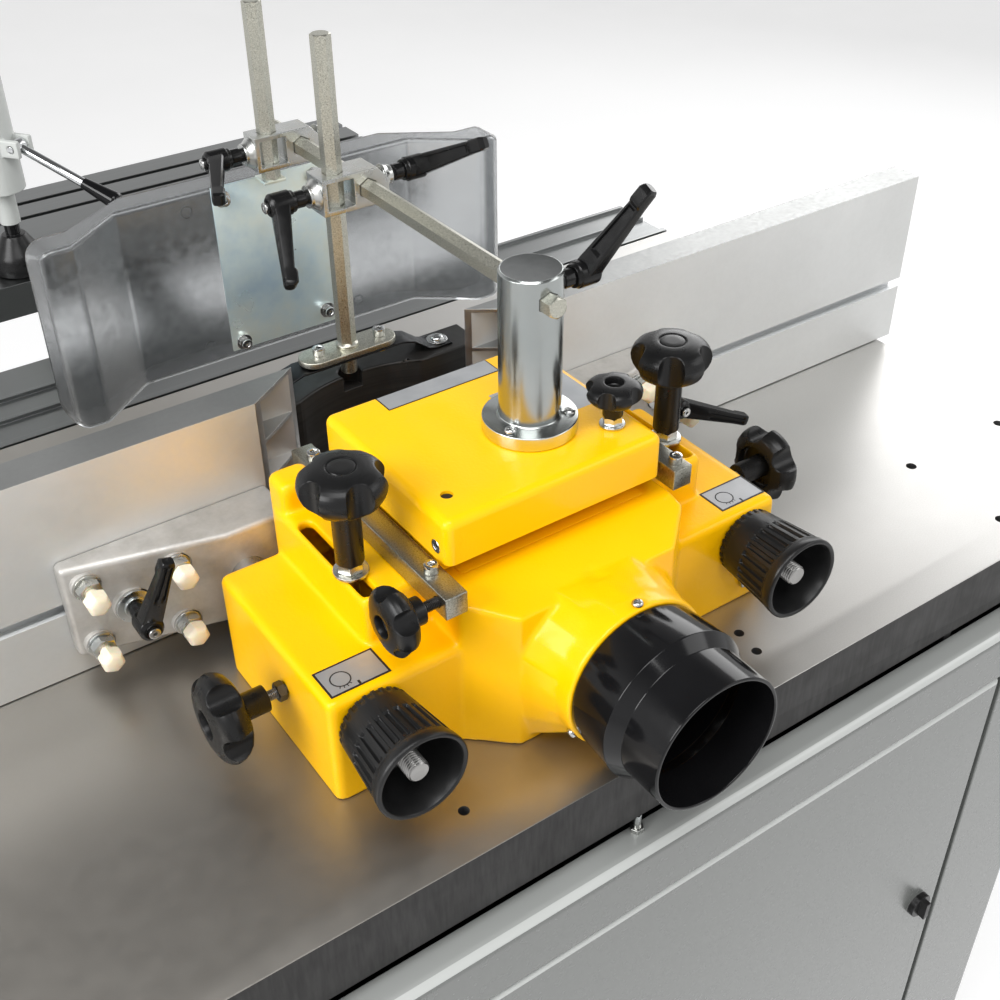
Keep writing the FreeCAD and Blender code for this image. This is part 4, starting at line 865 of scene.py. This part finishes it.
def nylon_caps():
    caps, fit = [], []
    for bx, bz, sr, sy in SEATS[:4]:
        ang = 8 + (bx + bz) % 17
        up = (math.sin(math.radians(ang)), 0, math.cos(math.radians(ang)))
        r = hexr(72, 16.5)
        e = np.clip(r - 7.2, 0, None)
        cy_ = sy + (15.9 if bx > 250 else 10.9)
        caps.append(polar([(4.6, -14), (4.6, 0.0), (7.4, 0.0), (r, 0.4 + e * 0.5), (r, 8.6 - e * 0.3), (r * 0.98, 10.0 - e * 0.45), (r * 0.90, 11.6 - e * 0.4), (r * 0.74, 12.6 - e * 0.2), (5.0, 13.0), (0, 13.1)], (bx, cy_, T + bz), Y, up, 72))
        fit.append(washer((bx, sy + 0.05, T + bz), Y, 10.6, 5.0, 1.7))
        fit.append(nut((bx, sy + 1.85, T + bz), Y, 17.0, 8.2, 4.7, up))
        fit.append(lathe([(0, 0), (4.6, 0), (4.6, sy - FB + 2), (0, sy - FB + 2)], (bx, FB + 0.4, T + bz), Y, n=32))
    return caps, fit
c_, f_ = nylon_caps()
make("nylon_caps_left", c_, "nylon", "holder_l", ("holder_bolts_left",))
make("nylon_nuts_left", f_, "zinc", "holder_l")
make("nylon_caps_right", mirror(c_), "nylon", "holder_r", ("holder_bolts_right",))
make("nylon_nuts_right", mirror(f_), "zinc", "holder_r")

def fence_lever(name, node, sgn, d, body):
    zc = T + 65
    sh = lever_parts((258 * sgn, 318.3, zc), Y, d, 71)
    sh += [(washer((258 * sgn, 314.8, zc), Y, 14.0, 4.3, 2.2), 2), (lathe([(0, 0), (8.6, 0, 0.5), (8.6, 2.0, 0.5), (0, 2.0)], (258 * sgn, 316.9, zc), Y, n=48), 2),
           (lathe([(0, 0), (4.0, 0), (4.0, 40), (0, 40)], (258 * sgn, 278.2, zc), Y, n=32), 2), (lathe([(0, 0), (9.0, 0, 0.5), (9.0, 5.8, 0.5), (0, 5.8)], (258 * sgn, 277.7, zc), Y, n=48), 2)]
    return make(name, sh, ["lever", "bright", "zinc"], body, (node,))
fence_lever("fence_lever_left_v", "fence_lever_left", 1, (-0.247, 0.30, 0.921), "fence_lever_l")
fence_lever("fence_lever_right_v", "fence_lever_right", -1, (-0.849, 0.44, -0.29), "fence_lever_r")

# ---------------------------------------------------------------- hood casting, rails, screws, outlet
hood = remeshed("hood_casting", "hood_body", 1.5, 14, "yellow", "hood")
rails = make("hood_rail_bars", [block(99.8, 117.2, 316.5, 532.5, T + 133.5, T + 151), block(-118, -100.6, 316.5, 508.5, T + 133.5, T + 151)], "bar_zinc", "hood", ("hood_rails",), 0.8, 3)
carve(rails, [lathe([(0, 0), (4.4, 0), (4.4, 40), (0, 40)], (90, 521.5, T + 142.5), X, n=32)])
scr = []
for sx, sy in ((108.5, 337.0), (108.5, 501.5), (-109.3, 337.0), (-109.3, 499.0)):
    scr.append(cap_screw((sx, sy, T + 151.05), Z, 5.1, 6.8, 4.6))
    scr.append(lathe([(0, 0), (3.0, 0), (3.0, 17), (0, 17)], (sx, sy, T + 134.2), Z, n=24))
for a in (90, 210, 330):
    dx, dz = math.cos(math.radians(a)), math.sin(math.radians(a))
    q = (61.0 * dx, 588, T + 68 + 61.0 * dz)
    scr.append(pan_screw(q, (dx, 0, dz), 4.2, 2.7))
    scr.append(lathe([(0, 0), (2.0, 0), (2.0, 5.2), (0, 5.2)], (56 * dx, 588, T + 68 + 56 * dz), (dx, 0, dz), n=20))
scr.append(nut((-176.0, 520.4, T + 19.5), Y, 10.0, 4.2, 2.9, (0.3, 0, 1)))
scr.append(lathe([(0, 0), (3.0, 0), (3.0, 9.6, 0.5), (0, 9.6)], (-176.0, 519.0, T + 19.5), Y, n=28))
make("hood_screw_heads", scr, "bright", "hood", ("hood_screws",))
make("outlet_adapter", [lathe([(50.0, 0), (54.9, 0, 0.8), (54.9, 29.3), (58.2, 29.5, 0.7), (61.0, 67.5, 1.4), (53.7, 77.0, 1.6), (53.6, 111.7, 1.0), (50.8, 112.0, 1.0), (50.8, 77.5, 1.5), (57.2, 66.5, 1.5), (55.0, 34.0, 1.0), (50.2, 26.0, 1.0)],
                              (0, 564, T + 68), Y, Z, 160, 5, True)], "gloss", "hood", ("hose_adapter",))

# ---------------------------------------------------------------- lid with plate, column, knobs
def lid_shell():
    x0, x1, y0, y1, z0, z1 = -87.0, 100.0, 341.5, 508.5, T + 154, T + 190
    return block(x0, x1, y0, y1, z0, z1)
def lid_edges(e):
    return not all(abs(v.co.z * 1000 - (T + 154)) < 0.5 for v in e.verts)
lid = make("lid_body", [lid_shell()], "yellow", "lid", ("hood_lid",), 7.0, 7, 28, 70, lid_edges)
carve(lid, [block(-80.5, 93.5, 348, 502, T + 140, T + 183), lathe([(0, 0), (4.6, 0), (4.6, 40), (0, 40)], (80.5, 479.7, T + 175), Z, n=40),
            lathe([(0, 0), (4.2, 0), (4.2, 40), (0, 40)], (-64.5, 477, T + 175), Z, n=32), lathe([(0, 0), (5.4, 0), (5.4, 40), (0, 40)], (80, 494.3, T + 164), X, n=40)])
make("lid_hole_plug", [lathe([(0, 0), (7.5, 0, 0.5), (7.5, 2.2, 0.4), (4.5, 2.4, 0.2), (4.5, 7.2, 0.3), (0, 7.0)], (80.5, 479.7, T + 180.6), Z, n=40)], "rubber", "lid")
make("hood_roof_strip", [block(-82, 82, 468, 497, T + 124, T + 133.3)], "yellow", "hood", (), 1.2, 2)
make("lid_slide_plate", [block(-98, -74, 352, 492, T + 144.2, T + 151.8), block(74, 97.5, 352, 492, T + 144.2, T + 153.8), block(-74, 74, 480, 492, T + 144.2, T + 153.8), block(-84, 96.5, 484, 489.5, T + 136, T + 156)], "yellow", "lid", (), 0.8, 2)
make("lid_set_screw", [(polar([(5.3, 0), (5.3, 6.8), (4.7, 7.4), (hexr(48, 5.0) * 1.06, 7.4), (hexr(48, 5.0), 6.9), (hexr(48, 5.0), 2.0)], (92.6, 494.3, T + 164), X, Z, 48), 0), (lathe([(0, 0), (4.0, 0), (4.0, 2.2), (0, 2.2)], (92.6, 494.3, T + 164), X, n=24), 1)], ["bright", "dark_steel"], "lid")

def lid_plate():
    """Plain plate that follows the lid's front edge."""
    bvh = BVHTree.FromObject(lid, bpy.context.evaluated_depsgraph_get())
    def sheet(x0, x1, y0, y1, off, th, nx=24, ny=14):
        top, bot = [], []
        for j in range(ny + 1):
            for i in range(nx + 1):
                x, y = x0 + (x1 - x0) * i / nx, y0 + (y1 - y0) * j / ny
                hit = bvh.ray_cast(Vector((x * 0.001, y * 0.001, (T + 230) * 0.001)), Vector((0, 0, -1)))
                z = hit[0].z * 1000 if hit[0] else T + 190
                top.append((x, y, z + off + th))
                bot.append((x, y, z + off))
        n = (nx + 1) * (ny + 1)
        f = []
        for j in range(ny):
            for i in range(nx):
                q = j * (nx + 1) + i
                f.append((q, q + 1, q + nx + 2, q + nx + 1))
                f.append((n + q, n + q + nx + 1, n + q + nx + 2, n + q + 1))
        ring = [i for i in range(nx + 1)] + [j * (nx + 1) + nx for j in range(1, ny + 1)] + [ny * (nx + 1) + i for i in range(nx - 1, -1, -1)] + [j * (nx + 1) for j in range(ny - 1, 0, -1)]
        for a, b in zip(ring, ring[1:] + ring[:1]):
            f.append((a, n + a, n + b, b))
        return top + bot, f
    x0, x1, y0, y1 = -42.0, 57.5, 346.0, 366.5
    make("lid_plate_edge", [sheet(x0, x1, y0, y1, 0.05, 0.25)], "ink", "lid")
    make("lid_plate_face", [sheet(x0 + 0.9, x1 - 0.9, y0 + 0.9, y1 - 0.9, 0.12, 0.28)], "plate", "lid")
lid_plate()
make("lid_small_plate", [block(-80.0, -14.0, 392.0, 446.0, T + 189.95, T + 190.06)], "plate", "lid", (), 0.02, 1)

col = make("column_post", [lathe([(0, 0.1), (34.0, 0.1, 0.8), (35, 1.0, 0.4), (35, 11.2, 1.0), (24.4, 12.1, 0.5), (22.75, 13.2, 1.4), (22.75, 124.6, 0.6), (21.4, 126.0, 0.4), (20.8, 125.9), (0, 125.9)], (-15, 443.5, T + 190), Z, X, 128, 4)],
           ["zinc_turned", "turned_painted_shade_top", "zinc_painted_sheen_rim"], "lid", ("guard_column",))
carve(col, [polar([(hexr(72, 14.8), 0), (hexr(72, 14.8), 120)], (-14, 383.5, T + 299), Y, Z, 72), lathe([(0, 0), (4.3, 0), (4.3, 40), (0, 40)], (-60, 443.5, T + 299), X, n=32)])
# the flange rim takes the painted-sheen copy of the turned zinc, and the post's top face takes the painted-shade copy
for f in col.data.polygons:
    rr = math.hypot(f.center.x * 1000 + 15, f.center.y * 1000 - 443.5)
    f.material_index = 1 if (f.normal.z > 0.9 and f.center.z * 1000 > T + 312 and rr < 20.7) else (2 if (rr > 23.0 and f.normal.z < 0.7) else 0)
fs = []
for a in (25, 145, 265):
    sx, sy = -15 + 28.6 * math.cos(math.radians(a)), 443.5 + 28.6 * math.sin(math.radians(a))
    fs.append(pan_screw((sx, sy, T + 201.9), Z, 4.4, 2.6))
make("column_screws", fs, "bright", "lid")

def stud(p, ax, r, length, visible0, visible1, pitch=1.5):
    """Stud with thread where it shows."""
    a = Vector(ax)
    out = []
    if visible0 > 0.5:
        out.append(lathe([(0, 0), (r - 0.3, 0), (r - 0.3, visible0), (0, visible0)], p, ax, n=24))
    out.append(thread(Vector(p) + a * visible0, ax, r, pitch, visible1 - visible0, 0.4, 0.75, 32))
    return out

lk = star((-64.5, 477, T + 198.7), Z, X, 21, 16, 7.6, 11.3, sunk=True)
make("lid_knob_head", [(lk, 0), (washer((-64.5, 477, T + 190.2), Z, 9.6, 4.2, 1.7), 1), (nut((-64.5, 477, T + 192), Z, 13, 6.4, 4.0), 1), (lathe([(0, 0), (4.0, 0), (4.0, 42), (0, 42)], (-64.5, 477, T + 163), Z, n=24), 1)], ["knob", "zinc"], "lid_knob", ("lid_knob",))
rk = star((130, 521.5, T + 142.5), X, (0, 0.35, 0.94), 25, 20, 10, 10, sunk=True)
make("rail_knob_head", [(rk, 0), (lathe([(0, 0), (7.0, 0, 0.4), (7.0, 1.6, 0.4), (0, 1.6)], (128.6, 521.5, T + 142.5), X, n=40), 1)] + [(s, 1) for s in stud((101, 521.5, T + 142.5), X, 4.0, 29, 10, 28.5, 1.25)], ["knob", "dark_steel"], "rail_knob", ("rail_knob",))

def table_knob(up):
    p = (142.5, 450.5, T + 144)
    k = star(p, Z, up, 31, 30, 10.25, 48)
    return [(k, 0), (washer((142.5, 450.5, T + 133.5), Z, 12.75, 5.2, 2.4), 1), (nut((142.5, 450.5, T + 136), Z, 17, 7.2, 5.0), 1),
            (lathe([(0, 0), (4.9, 0), (4.9, 160), (0, 160)], (142.5, 450.5, T - 15), Z, n=32), 1)]
make("table_knob_left_head", table_knob((0.66, 0.75, 0)), ["knob", "zinc"], "table_knob_l", ("table_knob_left",))
make("table_knob_right_head", mirror(table_knob((-0.09, 1.0, 0))), ["knob", "zinc"], "table_knob_r", ("table_knob_right",))

def side_knob(x0, ky, up):
    k = star((x0, ky, T + 55), X, up, 34.0, 26, 10, 20, sunk=True)
    n0 = nut((203.6, ky, T + 55), X, 13, 6.4, 4.0, (0, 0.3, 1))
    return [(k, 0), (n0, 1)] + [(s, 2) for s in stud((187, ky, T + 55), X, 4.0, x0 - 187, 16.4, x0 - 186.5, 1.25)]
make("side_knob_left_head", side_knob(218.0, 450.5, (0, -0.20, 1)), ["knob", "dark_steel", "rod"], "side_knob_l", ("side_knob_left",))
make("side_knob_right_head", mirror(side_knob(237.0, 444.0, (0, 0.35, 1))), ["knob", "dark_steel", "rod"], "side_knob_r", ("side_knob_right",))

cu = cup((171, 521.3, T + 65), Y, Z)
make("cup_left", [cu], "cup", "cup_l", ("fine_adjuster_left",), sharp=50)
make("cup_right", mirror([cu]), "cup", "cup_r", ("fine_adjuster_right",), sharp=50)

def index_plate(name, x0, x1, y0, y1, body):
    """Bare plate with a border and one index tick."""
    z = T + 93.0
    make(name + "_edge", [block(x0, x1, y0, y1, z + 0.02, z + 0.28)], "ink", body, (), 0.08, 1)
    make(name + "_face", [block(x0 + 1.6, x1 - 1.6, y0 + 1.6, y1 - 1.6, z + 0.05, z + 0.34)], "plate", body, (), 0.08, 1)
    xm = (x0 + x1) / 2
    make(name + "_tick", [block(xm - 0.9, xm + 0.9, y1 - 5.2, y1 - 0.4, z + 0.1, z + 0.40)], "ink", body, (), 0.05, 1)
    xr, yr = x0 + (x1 - x0) * 0.70, (y0 + y1) / 2 + 1.0
    ticks = [prism([(7.4, -0.35), (9.2, -0.35), (9.2, 0.35), (7.4, 0.35)], (xr, yr, z + 0.1), (math.cos(a), math.sin(a), 0), (-math.sin(a), math.cos(a), 0), (0, 0, 0.29)) for a in (math.radians(q) for q in (60, 80, 100, 120))]
    make(name + "_ring", [lathe([(6.5, 0), (7.5, 0), (7.5, 0.29), (6.5, 0.29)], (xr, yr, z + 0.1), Z, loop=True, n=64)] + ticks, "ink", body)
index_plate("index_left", 150.8, 197.0, 486.0, 514.0, "hood")
index_plate("index_right", -199.0, -153.5, 483.0, 511.0, "hood")

# ---------------------------------------------------------------- guard arm, clamps, levers
make("arm_bar", [hexbar((-14, 62, T + 299), Y, 14.0, 414, Z)], "zinc_bar", "arm", ("guard_arm",), sharp=20)
dress("shoe_clamp", "zinc", 0.6, 32, 3)
dress("guard_clamp", "zinc", 0.6, 32, 3)
for nm, bx, by, body in (("shoe", 10.0, 215.5, "shoe_clamp"), ("guard", 12.0, 106.5, "guard_clamp")):
    make(nm + "_clamp_weld", [lathe([(4.6, 0), (13.2, 0, 0.6), (11.6, 2.4, 2.0), (9.2, 5.4, 1.0), (9.0, 7.9, 0.5), (4.6, 7.9)], (bx + 16.0, by, T + 299), X, loop=True, n=56),
                              lathe([(4.6, 0), (10.4, 0, 0.6), (8.6, 2.0, 1.6), (7.6, 4.6, 1.0), (7.6, 7.9, 0.5), (4.6, 7.9)], (-33.0, by, T + 300.5), NX, loop=True, n=56)], "zinc", body)

def lever(name, node, p, ax, d, L, sin, body):
    sh = lever_parts(p, ax, d, L)
    a = Vector(ax)
    sh.append((lathe([(0, 0), (3.9, 0), (3.9, sin + 1), (0, sin + 1)], Vector(p) - a * sin, ax, n=28), 2))
    return make(name, sh, ["lever", "bright", "zinc"], body, (node,))
lever("column_lever_v", "column_lever", (-15 - 22.75 - 0.4, 443.5, T + 299), NX, (-0.418, 0.365, 0.831), 76, 13.75, "column_lever")
lever("shoe_lever_v", "shoe_lever", (34.0, 215.5, T + 299), X, (0.328, 0.735, -0.593), 71, 14.0, "shoe_lever")
lever("guard_lever_v", "guard_lever", (36.0, 106.5, T + 299), X, (0.42, 0.90, -0.06), 72, 14.0, "guard_lever")
lever("arm_lever_v", "arm_lever", (-41.0, 215.5, T + 300.5), NX, (-0.42, 0.80, 0.43), 74, 17.0, "arm_lever")

# ---------------------------------------------------------------- pressure shoe
SX, SY = 10.0, 215.5
def stadium(x0, x1, y, r, seg=14):
    pts = [(x0 + r * math.cos(math.radians(90 + 180 * k / seg)), y + r * math.sin(math.radians(90 + 180 * k / seg))) for k in range(seg + 1)]
    pts += [(x1 + r * math.cos(math.radians(-90 + 180 * k / seg)), y + r * math.sin(math.radians(-90 + 180 * k / seg))) for k in range(seg + 1)]
    return pts
make("shoe_bar_hex", [hexbar((SX, SY, T + 160.3), Z, 14.0, 420 - 160.3, Y, False, True)], "zinc_bar", "shoe", ("shoe_bar",), sharp=20)
make("shoe_bar_plate", [prism(stadium(-21, 41, SY, 14.0), (0, 0, T + 155.0), X, Y, (0, 0, 5.4))], "zinc_bar", "shoe", (), 0.9, 3, 40, 34)
make("shoe_bar_pin", [lathe([(0, 0), (7.0, 0, 0.8), (7.0, 19), (0, 19)], (SX, SY, T + 136.2), Z, n=40),
                      lathe([(7.05, 0), (9.6, 0, 0.4), (9.6, 3.0, 1.0), (7.05, 5.0)], (SX, SY, T + 160.4), Z, loop=True, n=48)], "zinc_bar", "shoe")
make("shoe_plate_screws", [cap_screw((sx, SY, T + 160.5), Z, 5.2, 6.8, 4.4) for sx in (-21.0, 37.0)] + [lathe([(0, 0), (3.0, 0), (3.0, 9), (0, 9)], (sx, SY, T + 148.2), Z, n=24) for sx in (-21.0, 37.0)]
     + [nut((sx, SY, T + 146.6), Z, 10.0, 4.6, 3.0) for sx in (-21.0, 37.0)], "bright", "shoe")
def on_shoe(x, y, z, n):
    return 0 if z < T + 135.4 and not (abs(abs(x - SX) - 89) < 9.5 and z > T + 135.2) else (1 if z < T + 160 and not (abs(abs(x - SX) - 89) < 9.6 and z > T + 136.95) else 2)
dress("pressure_shoe", ["laminate", "spring", "bright"], 0.7, 32, 3, on_shoe)
make("shoe_spring_screws", [pan_screw((SX + s_ * 89, SY, T + 137.9), Z, 6.0, 3.4) for s_ in (-1, 1)] + [washer((SX + s_ * 89, SY, T + 137.0), Z, 9.4, 3.0, 1.0) for s_ in (-1, 1)], "bright", "shoe")

# ---------------------------------------------------------------- clear guard
GX, GY = 12.0, 106.5
make("guard_bar_hex", [hexbar((GX, GY, T + 273.9), Z, 14.0, 420 - 273.9, Y, False, True)], "zinc_bar", "guard", ("guard_bar",), sharp=20)
make("guard_bar_plate", [block(-41, 64, 94.5, 96.5, T + 117, T + 273), block(2, 22, 94.5, 114, T + 271, T + 274)], "zinc_sheet", "guard", (), 0.5, 2, 40)
gs, gw = [], []
for sx, sz in ((-33, 130), (53, 124), (-33, 262), (55, 262)):
    gw.append(washer((sx, 96.5, T + sz), Y, 7.4, 3.0, 1.3))
    gs.append(cap_screw((sx, 97.8, T + sz), Y, 4.9, 6.4, 4.0))
make("guard_plate_screws", gs + gw, "bright", "guard")

def clear_guard():
    """Thin tray: flat middle, wings bent towards the fences, a rim all round drawn away from the fences."""
    GC, ZB, ZT, RC = 8.0, 108.5, 272.0, 16.0
    side = [(219.0, 104.0), (214.0, 133.5, 11.0), (189.0, 133.6, 12.0), (139.0, 94.2, 5.0)]
    def skin(d):
        """Grid of points of the outer (d = 0) or inner skin."""
        half = []
        path = rounded([*side, (0.0, 94.2)], 8)
        for (xa, ya), (xb, yb) in zip(path, path[1:]):
            m = max(1, int(math.hypot(xb - xa, yb - ya) / 4.0))
            half += [(xa + (xb - xa) * k / m, ya + (yb - ya) * k / m) for k in range(m)]
        P = np.array(half + [(0.0, 94.2)] + [(-x, y) for x, y in reversed(half)])
        t = np.gradient(P, axis=0)
        t /= np.linalg.norm(t, axis=1)[:, None]
        Q = P + d * np.stack([-t[:, 1], t[:, 0]], 1)
        grid = []
        for (x, y), (x0, y0) in zip(Q, P):
            far = float(np.interp(abs(x0), [0, 124.5, 183.0, 230.0], [66, 66, 104, 104]))
            D = max(0.0, y - far)
            w = abs(x0) - (219.0 - RC)
            c = RC - math.sqrt(max(0.0, RC ** 2 - w ** 2)) if w > 0 else 0.0
            zb, zt = ZB + d + c, ZT - d - c
            r = min(4.5 - d, D * 0.8)
            col = [(D, zb), (D * 0.75 + r * 0.25, zb), (D * 0.4 + r * 0.6, zb)]
            arc = [math.radians(90.0 * k / 6) for k in range(7)]
            col += [(r - r * math.sin(a), zb + r - r * math.cos(a)) for a in arc]
            col += [(0.0, zb + r + (zt - zb - 2 * r) * k / 10) for k in range(1, 10)]
            col += [(r - r * math.sin(a), zt - r + r * math.cos(a)) for a in reversed(arc)]
            col += [(D * 0.4 + r * 0.6, zt), (D * 0.75 + r * 0.25, zt), (D, zt)]
            grid.append([(GC + x, y - q, T + z) for q, z in col])
        return grid
    A, B = skin(0.0), skin(2.8)
    n, m = len(A), len(A[0])
    verts = [v for g in (A, B) for col in g for v in col]
    def at(k, i, j):
        return k * n * m + i * m + j
    faces = []
    for i in range(n - 1):
        for j in range(m - 1):
            faces.append((at(0, i, j), at(0, i + 1, j), at(0, i + 1, j + 1), at(0, i, j + 1)))
            faces.append((at(1, i, j), at(1, i, j + 1), at(1, i + 1, j + 1), at(1, i + 1, j)))
        for j in (0, m - 1):
            faces.append((at(0, i, j), at(1, i, j), at(1, i + 1, j), at(0, i + 1, j)))
    for i in (0, n - 1):
        for j in range(m - 1):
            faces.append((at(0, i, j), at(0, i, j + 1), at(1, i, j + 1), at(1, i, j)))
    make("clear_guard_shell", [(verts, faces)], "clear", "guard", ("clear_guard",), sharp=40)
    marks = []
    for x, z in ((87, 257), (84, 128), (4, 128.5), (8.4, 260), (-71, 257), (-68, 128)):
        marks.append(lathe([(4.2, 0), (5.6, 0), (5.6, 0.45, 0.3), (4.2, 0.45, 0.3)], (x, 94.22, T + z), Y, loop=True, n=40))
    make("clear_guard_marks", marks, "clear", "guard")
clear_guard()

# ---------------------------------------------------------------- stage and light
me = bpy.data.meshes.new("floor")
me.from_pydata([(-9, -9, 0), (9, -9, 0), (9, 9, 0), (-9, 9, 0)], [], [(0, 1, 2, 3)])
me.materials.append(M["floor"])
floor = bpy.data.objects.new("floor", me)
bpy.context.scene.collection.objects.link(floor)

world = bpy.data.worlds.new("studio")
bpy.context.scene.world = world
world.use_nodes = True
wt = world.node_tree
wt.nodes.clear()
wo = wt.nodes.new("ShaderNodeOutputWorld")
wb = wt.nodes.new("ShaderNodeBackground")
wb.inputs["Strength"].default_value = 0.85
wc = wt.nodes.new("ShaderNodeTexCoord")
ws = wt.nodes.new("ShaderNodeSeparateXYZ")
wr = wt.nodes.new("ShaderNodeValToRGB")
el = wr.color_ramp.elements
for pos, v in ((0.0, 1.0), (0.42, 0.95), (0.58, 0.55), (0.72, 0.20), (1.0, 0.16)):
    e = el.new(pos) if pos not in (0.0, 1.0) else (el[0] if pos == 0.0 else el[-1])
    e.position = pos
    e.color = (v, v, v, 1)
wt.links.new(wc.outputs["Generated"], ws.inputs[0])
wt.links.new(ws.outputs["Z"], wr.inputs[0])
wt.links.new(wr.outputs[0], wb.inputs["Color"])
wt.links.new(wb.outputs[0], wo.inputs[0])


def softbox(name, loc, aim, sx, sy, watts, col=(1, 1, 1)):
    d = bpy.data.lights.new(name, "AREA")
    d.shape = "RECTANGLE"
    d.size, d.size_y = sx, sy
    d.energy = watts
    d.color = col
    o = bpy.data.objects.new(name, d)
    o.location = loc
    o.rotation_mode = "QUATERNION"
    o.rotation_quaternion = (Vector(aim) - Vector(loc)).to_track_quat("-Z", "Y")
    bpy.context.scene.collection.objects.link(o)
    return o


softbox("key", (2.7, 0.5, 2.5), (0.0, 0.4, 1.0), 1.8, 1.4, 78)
softbox("overhead", (0.7, 1.3, 3.3), (0.0, 0.4, 0.9), 1.8, 1.2, 46)
softbox("far_panel", (-3.3, -1.5, 2.3), (-0.3, 0.4, 0.9), 2.6, 1.8, 50)
softbox("rear_panel", (-2.0, 1.9, 2.55), (-0.2, 0.5, 0.85), 1.8, 1.1, 15)
